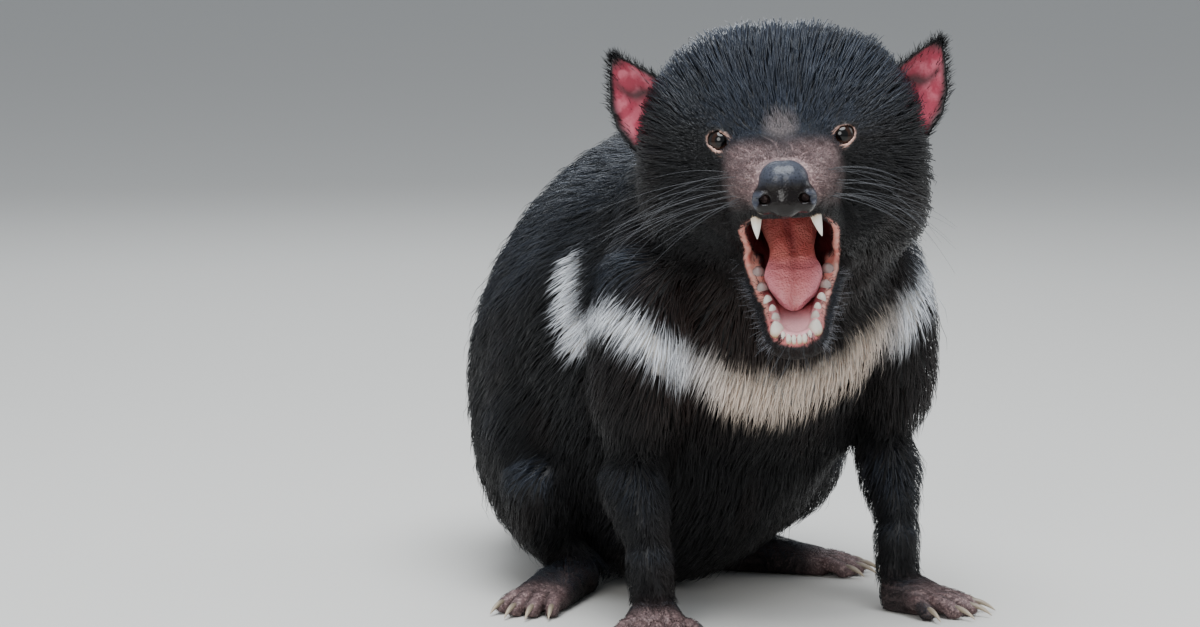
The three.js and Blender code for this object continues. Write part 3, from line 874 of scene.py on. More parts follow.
def linear(hex_colour):
    """A written colour such as "#c98d7a" as linear red, green and blue."""
    parts = [int(hex_colour[k:k + 2], 16) / 255 for k in (1, 3, 5)]
    return tuple(p / 12.92 if p <= 0.04045 else ((p + 0.055) / 1.055) ** 2.4 for p in parts)


def skin_finish(colours):
    """Dark skin under the coat, and the bare muzzle, lids, lips and mouth, with painted shade darkening
    the back of the mouth.
    """
    f = Finish("devil_skin")
    speckle = f.between(f.noise(800, 2), 0.5, 0.62)
    patch = f.noise(60, 3)
    under_coat = f.mix(f.mask("band"), colours.skin_dark, colours.skin_band)
    bare = f.mix(patch, colours.skin_bare, colours.skin_bare_dark)
    bare = f.mix(speckle * 0.5, bare, colours.skin_speckle)
    colour = f.mix(f.mask("bare"), under_coat, bare)
    colour = f.mix(f.mask("ring") * (0.65 + f.noise(500, 2) * 0.5), colour, colours.lid)
    deep = f.mix(f.between(f.noise(140, 2), 0.35, 0.7), colours.lining, colours.lining_pale)
    deep = f.mix(f.mask("front") * 0.85, deep, colours.mouth_floor)
    # Painted shade: the mouth darkens toward its back
    deep = f.mix(f.mask("deep") * 0.9, deep, colours.throat)
    colour = f.mix(f.mask("lining"), colour, deep)
    lip = f.mix(f.between(f.noise(220, 3), 0.3, 0.75), colours.lip, colours.lip_pale)
    lip = f.mix(f.mask("front") * 0.6, lip, colours.lip_front)
    colour = f.mix(f.mask("lip"), colour, lip)
    wet = f.mask("lining") + f.mask("lip") * 0.6
    roughness = 0.62 - wet * 0.3
    grain = f.cells(650) * 0.6 + f.noise(300, 4)
    f.bump(grain, 0.0006, 0.5)
    return f.finish(Base_Color=colour, Roughness=roughness)


def coat_finish(colours):
    """Hair that is black, with a painted bluish sky sheen where it faces up and painted shade toward
    its roots, brown at the throat, and the band with its painted tint and shade.
    """
    f = Finish("devil_coat", Specular_IOR_Level=0.36)
    shade = f.mask("shade")
    # Darker tufts at random, and painted shade toward the roots
    dark = f.mix(shade, colours.coat_deep, colours.coat)
    dark = f.mix(f.mask("warm") * (0.35 + shade * 0.65), dark, colours.coat_warm)
    # Painted bluish sky sheen on hair that faces up
    dark = f.mix(f.mask("sky_sheen") * shade, dark, colours.coat_cool)
    # The band's white has a painted bluish sky tint, and a cream tint of painted warm shade at the
    # chest's middle
    pale = f.mix(f.mask("chest_shade"), colours.band, colours.band_cream)
    # Greyer where the tufts are dark: painted shade at their roots, and darker tufts at random
    pale = f.mix(0.2 - shade * 0.2, pale, colours.band_shade)
    colour = f.mix(f.mask("band"), dark, pale)
    bare = f.mix(f.between(shade, 0.4, 0.9), colours.skin_bare_dark, colours.bare_hair)
    colour = f.mix(f.mask("mauve"), colour, bare)
    colour = f.mix(f.mask("pale"), colour, colours.pale_hair)
    roughness = 0.43 - f.mask("sky_sheen") * 0.08
    streak = f.noise(500, 2, f.stretched((1, 1, 0.15)))
    f.bump(streak, 0.0004, 0.3)
    return f.finish(Base_Color=colour, Roughness=roughness)


def nose_finish(colours):
    """Dark moist leather, pebbled on its top, with a painted bluish sky sheen on the top and painted
    highlights on the wings and pebbles.
    """
    f = Finish("devil_nose", Coat_Weight=0.2, Coat_Roughness=0.12, Specular_IOR_Level=0.25)
    pebble = f.cells(750)
    height = f.mask("upper")
    # The top takes a painted bluish sky sheen
    colour = f.mix(height, colours.nose_front, colours.nose_top)
    # Painted highlights on the wings beside the nostrils
    colour = f.mix(f.mask("wing") * 0.55, colour, colours.nose_pale)
    # Painted highlights on the pebbles of the top
    colour = f.mix(f.between(pebble, 0.05, 0.6) * height * 0.4, colour, colours.nose_pale)
    f.bump(pebble + f.noise(400, 2) * 0.5, 0.0004, 0.45)
    roughness = 0.27 + height * 0.13
    return f.finish(Base_Color=colour, Roughness=roughness)


def tongue_finish(colours):
    """Moist pink with papillae, and painted shade darkening its groove and crease."""
    f = Finish("devil_tongue", Coat_Weight=0.25, Coat_Roughness=0.25)
    papillae = f.cells(900)
    patch = f.between(f.noise(110, 4), 0.35, 0.7)
    colour = f.mix(patch, colours.tongue, colours.tongue_pale)
    colour = f.mix(f.mask("front"), colour, colours.tongue_front)
    # Painted shade in the groove and the crease
    colour = f.mix(f.mask("groove"), colour, colours.tongue_deep)
    f.bump(papillae * 0.7 + f.noise(260, 3) + f.noise(90, 4) * 1.5, 0.001, 0.8)
    return f.finish(Base_Color=colour, Roughness=0.5 - patch * 0.1)


def tooth_finish(colours):
    """Ivory, browner at the gum, with painted shade darkening the back teeth."""
    f = Finish("devil_tooth", Coat_Weight=0.4, Coat_Roughness=0.15)
    streak = f.noise(350, 2, f.stretched((1, 1, 0.25)))
    tip = f.between(f.mask("along") + streak * 0.25, 0.25, 0.75)
    colour = f.mix(tip, colours.tooth_root, colours.tooth)
    # Painted shade on the stubby back teeth
    colour = f.mix(f.mask("back_shade") * 0.9, colour, colours.tooth_back)
    f.bump(streak, 0.0002, 0.25)
    return f.finish(Base_Color=colour, Roughness=0.3 + streak * 0.1)


def claw_finish(colours):
    """Horn that pales to its tip."""
    f = Finish("devil_claw", Coat_Weight=0.25, Coat_Roughness=0.3)
    streak = f.noise(420, 3)
    colour = f.mix(f.mask("along") + streak * 0.2, colours.claw_root, colours.claw)
    f.bump(streak, 0.0003, 0.3)
    return f.finish(Base_Color=colour, Roughness=0.38 + streak * 0.15)


def whisker_finish(colours):
    """Stiff dark bristle with a paler tip."""
    f = Finish("devil_whisker")
    colour = f.mix(f.mask("along") * 0.6 + f.mask("pale"), colours.whisker, colours.whisker_tip)
    return f.finish(Base_Color=colour, Roughness=0.35 + f.noise(200, 2) * 0.1)


def ear_finish(colours):
    """Thin crimson skin with veins and painted shade in its fold, black outside."""
    f = Finish("devil_ear")
    vein = f.between(f.noise(130, 4), 0.42, 0.62)
    inside = f.mix(f.mask("low"), colours.ear_upper, colours.ear_lower)
    inside = f.mix(vein * 0.5, inside, colours.ear_pale)
    # Painted shade in the fold
    inside = f.mix(f.mask("fold"), inside, colours.ear_dark)
    colour = f.mix(f.mask("inside"), colours.skin_dark, inside)
    f.bump(f.noise(500, 4), 0.0005, 0.5)
    return f.finish(Base_Color=colour, Roughness=0.5 - vein * 0.1)


def eye_finish(colours):
    """A black pupil in a dark brown iris under a wet coat."""
    f = Finish("devil_eye", Coat_Weight=0.5, Coat_Roughness=0.02, Specular_IOR_Level=0.15)
    angle = f.mask("gaze")
    fibres = f.noise(900, 2)
    iris = f.mix(fibres, colours.iris, colours.iris_dark)
    colour = f.mix(f.between(angle, 0.44, 0.52), colours.pupil, iris)
    colour = f.mix(f.between(angle, 0.74, 0.86), colour, colours.eye_rim)
    return f.finish(Base_Color=colour, Roughness=0.08 + f.between(angle, 0.7, 0.9) * 0.2)


def floor_finish(colours):
    """Plain pale matt floor."""
    f = Finish("stage_floor")
    colour = f.mix(f.noise(3, 2) * 0.1, colours.floor, colours.floor_shade)
    return f.finish(Base_Color=colour, Roughness=0.9 + f.noise(2, 2) * 0.02)


# Rods: whiskers, bristles, claws and teeth, each a path with a girth

def rod_tree(material):
    """Nodes that turn paths with a girth at each point into closed rods."""
    tree = bpy.data.node_groups.new("rods_along_paths", "GeometryNodeTree")
    face = tree.interface
    face.new_socket("Geometry", in_out="INPUT", socket_type="NodeSocketGeometry")
    for name, kind, value in (("Thickness", "NodeSocketFloat", 1.0), ("Sides", "NodeSocketInt", 6)):
        face.new_socket(name, in_out="INPUT", socket_type=kind).default_value = value
    face.new_socket("Geometry", in_out="OUTPUT", socket_type="NodeSocketGeometry")
    made = {}
    for key, kind in {
        "start": "NodeGroupInput", "path": "GeometryNodeMeshToCurve",
        "girth": "GeometryNodeInputNamedAttribute", "scaled": "ShaderNodeMath",
        "radius": "GeometryNodeSetCurveRadius", "ring": "GeometryNodeCurvePrimitiveCircle",
        "sweep": "GeometryNodeCurveToMesh", "smooth": "GeometryNodeSetShadeSmooth",
        "real": "GeometryNodeRealizeInstances", "paint": "GeometryNodeSetMaterial",
        "end": "NodeGroupOutput",
    }.items():
        made[key] = tree.nodes.new(kind)
    made["girth"].inputs["Name"].default_value = "girth"
    made["scaled"].operation = "MULTIPLY"
    made["sweep"].inputs["Fill Caps"].default_value = True
    made["ring"].inputs["Radius"].default_value = 1.0
    made["paint"].inputs["Material"].default_value = material
    for out, into in (
        (made["start"].outputs["Geometry"], made["path"].inputs["Mesh"]),
        (made["path"].outputs["Curve"], made["radius"].inputs["Curve"]),
        (made["girth"].outputs["Attribute"], made["scaled"].inputs[0]),
        (made["start"].outputs["Thickness"], made["scaled"].inputs[1]),
        (made["scaled"].outputs[0], made["radius"].inputs["Radius"]),
        (made["scaled"].outputs[0], made["sweep"].inputs["Scale"]),
        (made["start"].outputs["Sides"], made["ring"].inputs["Resolution"]),
        (made["radius"].outputs["Curve"], made["sweep"].inputs["Curve"]),
        (made["ring"].outputs["Curve"], made["sweep"].inputs["Profile Curve"]),
        (made["sweep"].outputs["Mesh"], made["smooth"].inputs[0]),
        (made["smooth"].outputs[0], made["real"].inputs[0]),
        (made["real"].outputs[0], made["paint"].inputs["Geometry"]),
        (made["paint"].outputs[0], made["end"].inputs[0]),
    ):
        tree.links.new(out, into)
    return tree


def add_rods(name, paths, girths, material, sides, marks=None):
    """One mesh of rods from paths in mm (rods, points, 3) and girths at their points."""
    count, length = paths.shape[:2]
    mesh = bpy.data.meshes.new(name)
    mesh.vertices.add(count * length)
    mesh.vertices.foreach_set("co", (paths * MM).astype(np.float32).ravel())
    first = (np.arange(count)[:, None] * length + np.arange(length - 1)).ravel()
    mesh.edges.add(len(first))
    ends = np.stack([first, first + 1], axis=1).astype(np.int32)
    mesh.edges.foreach_set("vertices", ends.ravel())
    marks = {"girth": girths * MM, "along": np.linspace(0, 1, length), **(marks or {})}
    set_marks(mesh, {key: np.broadcast_to(values, girths.shape) for key, values in marks.items()})
    item = linked(name, mesh)
    tree = rod_tree(material)
    modifier = item.modifiers.new("Rods", "NODES")
    modifier.node_group = tree
    sockets = {s.name: s.identifier for s in tree.interface.items_tree if s.in_out == "INPUT"}
    modifier[sockets["Thickness"]] = 1.0
    modifier[sockets["Sides"]] = sides
    bake(item, modifier)
    return item


def bent_paths(starts, ways, lengths, bends, points):
    """Paths that leave their start one way and bend over by a vector, as they go."""
    t = np.linspace(0, 1, points)[None, :, None]
    reach = lengths[:, None, None]
    return starts[:, None] + reach * (t * ways[:, None] + t * t * bends[:, None])


# Noise that is the same in every run

def wave_noise(points, size, seed):
    """Smooth noise from -1 to 1 at points, with features about size mm across."""
    span = 24
    lattice = np.random.default_rng(seed).uniform(-1, 1, (span, span, span))
    p = points / size
    cell = np.floor(p).astype(int)
    f = p - cell
    f = f * f * (3 - 2 * f)
    total = np.zeros(len(points))
    for corner in np.ndindex(2, 2, 2):
        weight = np.prod([f[:, k] if far else 1 - f[:, k] for k, far in enumerate(corner)], axis=0)
        total += weight * lattice[tuple(((cell + corner) % span).T)]
    return total


def named_noise(points, name):
    """One of the named noises at points."""
    return wave_noise(points, *NOISES[name])


# Markings, the same on the skin and in the coat

# The white band, over the right shoulder and across the chest: place, half width
BAND_LINE = [
    (-93, 90, 193, 7.5), (-95, 89, 179, 8.5), (-97, 81, 163, 8.5), (-97, 74, 148, 7.5),
    (-96, 56, 163, 6.5), (-104, 25, 170, 7), (-102, 13, 168, 8), (-99, -1, 164, 8),
    (-91, -8, 159, 8), (-74, -15, 148, 9), (-53, -15, 133, 11.5), (-28, -17, 122, 15.5),
    (0, -20, 122, 16), (24, -21, 129, 14.5), (46, -22, 143, 13), (56, -20, 150, 12),
    (69, -15, 155, 11.5), (81, -16, 168, 11), (94, -8, 175, 9.5), (99, 12, 182, 7),
]


def band_mask(points, normals):
    """1 in the white band, 0 outside it, with a ragged edge."""
    line = from_body([row[:3] for row in BAND_LINE])
    widths = [row[3] for row in BAND_LINE]
    ragged = named_noise(points, "band") * 3 + named_noise(points, "band_fine") * 2
    inside = np.full(len(points), -40.0)
    for k in range(len(line) - 1):
        axis = line[k + 1] - line[k]
        t = np.clip(((points - line[k]) @ axis) / (axis @ axis), 0, 1)
        off = points - line[k] - t[:, None] * axis
        deep = np.einsum("ij,ij->i", off, normals)
        beside = np.sqrt(np.maximum((off ** 2).sum(1) - deep ** 2, 0))
        beside = beside + 3 * np.maximum(np.abs(deep) - 22, 0)
        inside = np.maximum(inside, widths[k] + (widths[k + 1] - widths[k]) * t - beside)
    return step(-1.2, 1.2, inside + ragged)


def fur_marks(points, normals):
    """Marks of the coat at places on it: band, its cream chest tint of painted shade, warm, painted sky
    sheen, pale and mauve.
    """
    h = to_head(points)
    body = points - BODY_ORIGIN
    head = head_share(points)
    drift = named_noise(points, "drift")
    throat = step(-52, -88, h[:, 2] + 8 * drift) * step(95, 40, h[:, 1]) * step(92, 66, np.abs(h[:, 0]))
    chest = step(60, -10, body[:, 1]) * step(90, 130, body[:, 2]) * (1 - head)
    warm = np.clip(0.85 * throat + 0.4 * chest + 0.22 * (drift > 0.2), 0, 1)
    brow = 1 - np.hypot(h[:, 0] / 11, (h[:, 2] - 4 + 0.35 * (h[:, 1] + 10)) / 13)
    pale = np.clip(brow, 0, 0.55) * step(14, -4, h[:, 1]) * head
    # Hair that faces up takes a painted bluish sky sheen
    sky_sheen = step(0.05, 0.75, normals[:, 2] + 0.25 * drift)
    # A cream tint of painted warm shade on the band at the chest's middle
    chest_shade = step(75, 35, np.abs(body[:, 0] - 4)) * step(40, 5, body[:, 1])
    band = band_mask(points, normals) * (1 - step(0.4, 0.8, head))
    mauve = muzzle_mask(h) * head + 0.85 * toe_share(points)
    return {"band": band, "chest_shade": chest_shade, "warm": warm * (1 - sky_sheen), "sky_sheen": sky_sheen * (1 - mauve),
            "pale": pale, "mauve": np.clip(mauve, 0, 1)}


def muzzle_mask(h):
    """1 on the bare part of the muzzle, 0 behind it, in the head frame."""
    seen = h[:, 2] + 0.12 * h[:, 1]
    bridge = np.exp(-(h[:, 0] / 8) ** 2) * step(-20, -10, seen)
    mask = step(0, -22, h[:, 1]) * step(34, 25, np.abs(h[:, 0]))
    return mask * step(-41, -29, seen) * step(1, -10, seen) * (1 - 0.4 * bridge)


def skin_marks(points, closed):
    """Marks of the bare skin: mouth lining, lips, lids, muzzle and feet.

    closed is how far the places are outside the head with its mouth closed.
    """
    h = to_head(points)
    x, y, z = np.abs(h[:, 0]), h[:, 1], h[:, 2]
    on_head = head_share(points)
    hollow = mouth_space(x, y, z)
    along, below = jaw_coordinates(y, z)
    ragged = 0.5 * named_noise(points, "lips")
    top = step(-46, -38, z)
    front = step(84, 102, along) * on_head
    from_wall = jaw_half_width(along) - x
    from_rim = np.minimum(from_wall, JAW_END - along)
    edge = 1.9 + 0.9 * front
    inside = step(-edge, -edge - 1.8, closed + ragged)
    inside = np.maximum(inside, step(6.8, 8.3, from_rim) * step(64, 76, along) * step(-48, -54, z))
    chin = step(84, 94, along) * step(-70, -80, z) * step(5.2, 4.0, below + ragged)
    lip = np.maximum(step(3.8, 2.6, hollow + ragged), chin) * (1 - inside) * on_head
    lip *= (1 - top * 0.7) * (1 - step(-34, -44, y) * step(-62, -54, z))
    lining = step(5.5, 4.5, hollow) * inside * on_head
    from_eye = np.stack([x, y, z], axis=1) - EYE
    out = np.linalg.norm(from_eye, axis=1)
    rim = 1.3 - 0.16 * from_eye[:, 2] - 0.14 * from_eye[:, 0]
    ring = step(rim + 0.8, rim, lid_opening(from_eye)) * step(11, 10, out) * on_head
    feet = np.maximum(0.9 * toe_share(points), 0.25 * foot_share(points))
    # How far back in the mouth, where shade is painted
    bare = np.maximum(muzzle_mask(h) * on_head, feet)
    deep = step(-34, 16, y)
    return {"lining": lining, "lip": lip, "ring": ring, "bare": bare, "front": front, "deep": deep}


# Pieces

def build_skin(devil):
    """The skin of the head, body, limbs and tail, with its marks."""
    points, quads, closed = skin_surface()
    item = add_mesh("devil_skin", points, quads)
    apply_modifier(item, "DECIMATE", ratio=min(1, devil.skin_faces / (2 * len(quads))))
    apply_modifier(item, "TRIANGULATE")
    points, normals = mesh_points(item)
    set_marks(item.data, skin_marks(points, sampled(*closed, points)))
    set_marks(item.data, {"band": fur_marks(points, normals)["band"]})
    return item


def ball(centre, radii, rings=24, sides=40):
    """Points and triangles of an ellipsoid."""
    polar = np.linspace(0, math.pi, rings + 1)[1:-1]
    turn = np.arange(sides) * 2 * math.pi / sides
    ring = np.stack([
        np.sin(polar)[:, None] * np.cos(turn),
        np.sin(polar)[:, None] * np.sin(turn),
        np.broadcast_to(np.cos(polar)[:, None], (rings - 1, sides)),
    ], axis=-1).reshape(-1, 3)
    points = np.concatenate([[[0, 0, 1.0]], ring, [[0, 0, -1.0]]])
    return np.asarray(centre) + points * radii, capped_tube(rings - 1, sides)


def capped_tube(rings, sides):
    """Triangles of a tube of rings between two end points."""
    corner = 1 + np.arange(rings * sides).reshape(rings, sides)
    after = np.roll(corner, -1, axis=1)
    last = rings * sides + 1
    walls = np.concatenate([
        np.stack([corner[:-1], corner[1:], after[1:]], axis=-1).reshape(-1, 3),
        np.stack([corner[:-1], after[1:], after[:-1]], axis=-1).reshape(-1, 3),
    ])
    ends = np.concatenate([
        np.stack([np.zeros(sides, int), corner[0], after[0]], axis=-1),
        np.stack([np.full(sides, last), after[-1], corner[-1]], axis=-1),
    ])
    return np.concatenate([walls, ends])


def build_eye(side):
    """An eyeball, marked with the angle from where it looks."""
    centre = EYE * [SIDES[side], 1, 1]
    points, faces = ball(centre, EYE_RADIUS)
    gaze = unit(np.array([0.02, -0.99, 0.1]))
    angle = np.arccos(np.clip(unit(points - centre) @ gaze, -1, 1))
    points = from_head(points)
    return add_mesh(f"devil_eye_{side}", points, outward(faces, points), {"gaze": angle})


# Nose leather: middles and radii of the round bodies it is made of
NOSE = {
    "ball": ((2.4, -60, -18), (10.4, 11, 10.5)),
    "wing": ((10.6, -62, -27), (6, 8, 7.5)),
    "front": ((0, -65, -28), (8, 7.5, 8.5)),
}
# Rods cut out of it for the nostrils and the groove: start, end, the radius at each
# and how soft the cut's edge is
NOSE_CUTS = [
    ((8.6, -74, -25.5), (11, -63, -27), 2.5, 2.4, 0.7),
    ((9.5, -72, -26.5), (17.5, -65, -27.5), 2.1, 1.6, 0.7),
    ((0, -75.5, -28), (0, -72.5, -40), 1.6, 1.8, 1.2),
]
# Spacing of the nose's grid in mm
NOSE_PACE = 0.7


def ellipsoid(p, centre, radii):
    """About how far points are outside an ellipsoid."""
    q = p - np.array(centre)
    scaled = np.linalg.norm(q / radii, axis=-1)
    slope = np.linalg.norm(q / np.square(radii), axis=-1)
    return scaled * (scaled - 1) / np.maximum(slope, 1e-4)


def build_nose():
    """The nose's leather, with its nostrils and groove cut into it."""
    axes = [spaced((low, high, NOSE_PACE)) for low, high in ((-20, 20), (-84, -44), (-45, -2))]
    p = np.stack(np.meshgrid(*axes, indexing="ij"), axis=-1)
    p[..., 0] = np.abs(p[..., 0])
    field = blend_min(ellipsoid(p, *NOSE["ball"]), ellipsoid(p, *NOSE["wing"]), 3)
    field = blend_min(field, ellipsoid(p, *NOSE["front"]), 4)
    for start, end, radius_start, radius_end, soft in NOSE_CUTS:
        hole = capsule(p, np.array(start), np.array(end), radius_start, radius_end)
        field = cut(field, hole, soft)
    points, quads = surface(field, axes)
    # Where the painted bluish sky sheen lies, on the top
    upper = step(-21, -14, points[:, 2] + 0.15 * (points[:, 1] + 70))
    beside = np.abs(points[:, 0])
    # Where painted highlights lie, on the wings beside the nostrils
    wing = step(12, 13.5, beside + 0.5 * (points[:, 2] + 27)) * step(-33, -30, points[:, 2])
    wing *= step(-21, -24, points[:, 2])
    return add_mesh("devil_nose", from_head(points), quads, {"upper": upper, "wing": wing})


# The tongue's mesh, the lengths its ends round off over, how deep and how wide its
# groove and crease are in mm, how far its edges curl and its middle drifts
TONGUE_RINGS, TONGUE_SIDES = 90, 56
TONGUE_TIP, TONGUE_ROOT = 12, 6
GROOVE, GROOVE_WIDTH = 2.6, 2.2
CREASE, CREASE_WIDTH, CREASE_PLACE = 1.3, 3.2, 65
TONGUE_CURL = 2.0
TONGUE_DRIFT = 0.9


def build_tongue():
    """The tongue, with its groove, crease and curled edges."""
    first, last = TONGUE[0][0], TONGUE[-1][0]
    t = (1 - np.cos(np.linspace(0, math.pi, TONGUE_RINGS + 2)[1:-1])) / 2
    along = first + (last - first) * t
    centre, wide, down, up = rows_at(TONGUE, along)
    near_tip = np.clip((along - last + TONGUE_TIP) / TONGUE_TIP, 0, 1)
    near_root = np.clip((first + TONGUE_ROOT - along) / TONGUE_ROOT, 0, 1)
    tip = np.sqrt(np.clip(1 - near_tip ** 2, 0.01, 1))
    tip = tip * np.sqrt(np.clip(1 - near_root ** 2, 0.01, 1))
    turn = np.arange(TONGUE_SIDES) * 2 * math.pi / TONGUE_SIDES
    out = np.sign(np.cos(turn)) * np.abs(np.cos(turn)) ** 0.8
    rise = np.sign(np.sin(turn)) * np.abs(np.sin(turn)) ** 0.9
    x = (wide * tip)[:, None] * out
    reach = np.where(rise > 0, up[:, None], down[:, None]) * tip[:, None]
    top = np.clip(rise, 0, 1)
    part = np.abs(out)
    drift = TONGUE_DRIFT * np.sin(along / 8)[:, None]
    dip = GROOVE - 1.7 * step(48, 74, along)[:, None]
    dip = dip * np.exp(-((x - drift) / GROOVE_WIDTH) ** 2)
    from_crease = along[:, None] - CREASE_PLACE + 5 * part ** 2 - drift
    crease = CREASE * np.exp(-(from_crease / CREASE_WIDTH) ** 2)
    curl = TONGUE_CURL * part ** 4 * step(50, 80, along)[:, None]
    height = centre[:, None] - rise * reach
    height = height + top ** 0.5 * (dip + crease * (1 - 0.5 * part ** 2) - curl)
    body = jaw_point(x, along[:, None], height).reshape(-1, 3)
    body[:, 2] += 0.9 * named_noise(body, "tongue") + 0.35 * named_noise(body, "tongue_fine")
    ends = [jaw_point(0, a, c) for a, c in ((first - 0.5, centre[0]), (last + 0.3, centre[-1]))]
    points = from_head(np.concatenate([ends[:1], body, ends[1:]]))

    def with_ends(values):
        return np.concatenate([[0], np.broadcast_to(values, x.shape).ravel(), [0]])

    # The groove mark paints shade into the groove and the crease
    creased = crease / CREASE * 0.25 * (1 - part ** 4)
    ahead = step(60, 68, along[:, None] + 5 * part ** 2)
    marks = {
        "groove": with_ends(top * (dip / GROOVE * 0.85 + creased)),
        "front": with_ends(ahead * (0.55 + 0.45 * part ** 3)),
    }
    faces = outward(capped_tube(TONGUE_RINGS, TONGUE_SIDES), points)
    return add_mesh("devil_tongue", points, faces, marks)


# Ear: a cupped leaf from its base to its tip, its inside facing forward
EAR_BASE, EAR_TIP = np.array([53.0, 60, -10]), np.array([87.0, 56, 43])
EAR_FACING = np.array([0.35, -0.93, -0.1])
EAR_WIDTHS = [13.5, 15, 18, 19.4, 19.2, 16.8, 12.5, 7, 1.2]
EAR_CUP = 9
EAR_ROOT = -0.42
EAR_THICK, EAR_EDGE = 1.3, 0.15
# The fold across it: how deep, where on its length, how it slants and how narrow it is
EAR_FOLD = {"deep": 0.75, "place": 0.6, "slant": 0.22, "narrow": 0.055}
EAR_ROWS, EAR_COLUMNS = 64, 41


def build_ear(side):
    """An ear: two sheets joined at their rim, with folds inside."""
    rows, columns = EAR_ROWS, EAR_COLUMNS
    t = np.linspace(EAR_ROOT, 1, rows)[:, None]
    out = np.linspace(-1, 1, columns)[None, :]
    axis = unit(EAR_TIP - EAR_BASE)
    across = unit(np.cross(axis, EAR_FACING))
    facing = np.cross(across, axis)
    half = np.interp(t, np.linspace(0, 1, len(EAR_WIDTHS)), EAR_WIDTHS)
    half = half * (1 + 0.02 * np.sin(t * 31) * np.abs(out))
    lean = EAR_CUP * (1 - np.minimum(np.abs(t), 1) ** 2) * out ** 2 + 4 * t * (1 - t) * (t > 0)
    folds = 0.9 * np.sin(9 * out + 5 * t) * np.exp(-((t - 0.35) / 0.3) ** 2) * (1 - out ** 4)
    bent = t - EAR_FOLD["place"] - EAR_FOLD["slant"] * out + 0.03 * np.sin(7 * out)
    fold = np.exp(-(bent / EAR_FOLD["narrow"]) ** 2) * (1 - out ** 2) * EAR_FOLD["deep"]
    middle_line = EAR_BASE + (EAR_TIP - EAR_BASE) * t[..., None]
    thick = EAR_THICK * (1 - out ** 6) ** 0.5 * (1 - 0.6 * np.clip(t, 0, 1)) + EAR_EDGE
    sheets = []
    for face in (1, -1):
        height = lean + folds - fold + face * thick / 2
        sheets.append(middle_line + across * (half * out)[..., None] + facing * height[..., None])
    points = np.stack(sheets).reshape(-1, 3)
    number = np.arange(2 * rows * columns).reshape(2, rows, columns)
    a, b = number[:, :-1, :-1], number[:, 1:, :-1]
    c, d = number[:, 1:, 1:], number[:, :-1, 1:]
    front = np.stack([a[0], b[0], c[0], d[0]], axis=-1).reshape(-1, 4)
    back = np.stack([a[1], d[1], c[1], b[1]], axis=-1).reshape(-1, 4)
    border = np.concatenate([
        number[0, 0, :-1], number[0, :-1, -1], number[0, -1, :0:-1], number[0, :0:-1, 0]
    ])
    after = np.roll(border, -1)
    shift = rows * columns
    rim = np.stack([border, after, after + shift, border + shift], axis=-1)
    faces = np.concatenate([front, back, rim])
    points[:, 0] *= SIDES[side]
    points = from_head(points)
    inner = step(0.98, 0.7, np.abs(out) + 0.008 / np.maximum(1.02 - t, 0.02)) * step(0.98, 0.84, t)
    marks = {
        "inside": np.concatenate([inner.ravel(), np.zeros(shift)]),
        "low": np.tile(np.broadcast_to(step(0.62, 0.25, t), (rows, columns)).ravel(), 2),
        # The fold is marked for painted shade
        "fold": np.tile(np.broadcast_to(np.minimum(1.35 * fold, 1), (rows, columns)).ravel(), 2),
    }
    faces = outward(faces, points)
    return add_mesh(f"devil_ear_{side}", points, faces, marks)


# Teeth of one side: upper (back, out, length, radius), lower (along, out, length, radius)
UPPER_TEETH = [
    (-57, 1.8, 1.6, 1.2), (-56.5, 5, 1.4, 1.2), (-55, 8.2, 1.4, 1.3), (-49, 15, 12.5, 3.6),
    (-38, 17.5, 2.4, 2.2), (-31, 18.5, 3.5, 2.8), (-22, 19.5, 5, 3.8), (-12, 19.5, 5, 4),
]
LOWER_TEETH = [
    (112, 1.4, 3.2, 1.7), (111.5, 4.1, 3.2, 1.7), (109.5, 6.7, 3.2, 1.7), (104.5, 9.8, 8.2, 4.5),
    (97, 10.2, 4.4, 2.7), (91, 11.6, 4.2, 2.3), (83, 13.8, 5, 2.8), (72, 16.4, 5.4, 3.7),
    (60, 18, 5, 4.2),
]
# Where they stand on the gums, how deep they sink and how many points each has
UPPER_ROOT = -35.5
LOWER_ROOT = 1.5
TOOTH_SINK = 4.5
TOOTH_POINTS = 9
# A tooth longer than this is a canine. Splay, hook and the two powers of the taper
CANINE_LENGTH = 8
TOOTH_SPLAY = 0.12
CANINE_SHAPE = (1, 0.2, 1.5, 0.75)
TOOTH_SHAPE = (0.4, 0.04, 2.6, 0.55)


def tooth_paths():
    """Middle lines of the teeth, their girths and how much painted shade darkens each."""
    t = np.linspace(0, 1, TOOTH_POINTS)
    paths, girths, back_shade = [], [], []
    for mirror in SIDES.values():
        for row, teeth in enumerate((UPPER_TEETH, LOWER_TEETH)):
            for place, x, length, radius in teeth:
                shape = CANINE_SHAPE if length > CANINE_LENGTH else TOOTH_SHAPE
                splay_part, hook_part, power, blunt = shape
                reach = -TOOTH_SINK + (length + TOOTH_SINK) * t
                out = mirror * (x + TOOTH_SPLAY * reach * splay_part)
                hook = hook_part * reach ** 2 / length
                if row:
                    root = LOWER_ROOT + gum_sink(place)
                    line = jaw_point(out, place + 0.3 * radius + hook, root - reach)
                else:
                    line = np.stack([out, place - 0.2 * reach + hook, UPPER_ROOT - reach], axis=-1)
                paths.append(line)
                # The stubby back teeth are marked for painted shade
                back_shade.append(np.full(len(t), np.interp(radius / length, [0.5, 0.7], [0, 1])))
                taper = np.maximum(1 - t ** power, 0.02) ** blunt
                girths.append(radius * taper * np.interp(t, [0, 0.25], [0.6, 1]))
    return from_head(np.array(paths)), np.array(girths), np.array(back_shade)


CLAW_POINTS = 8
CLAW_RADIUS = 1.75
# The claws' height over the floor at their root, their arch and how far they come down
CLAW_HEIGHT, CLAW_ARCH, CLAW_FALL = 6.4, 0.4, 4.9


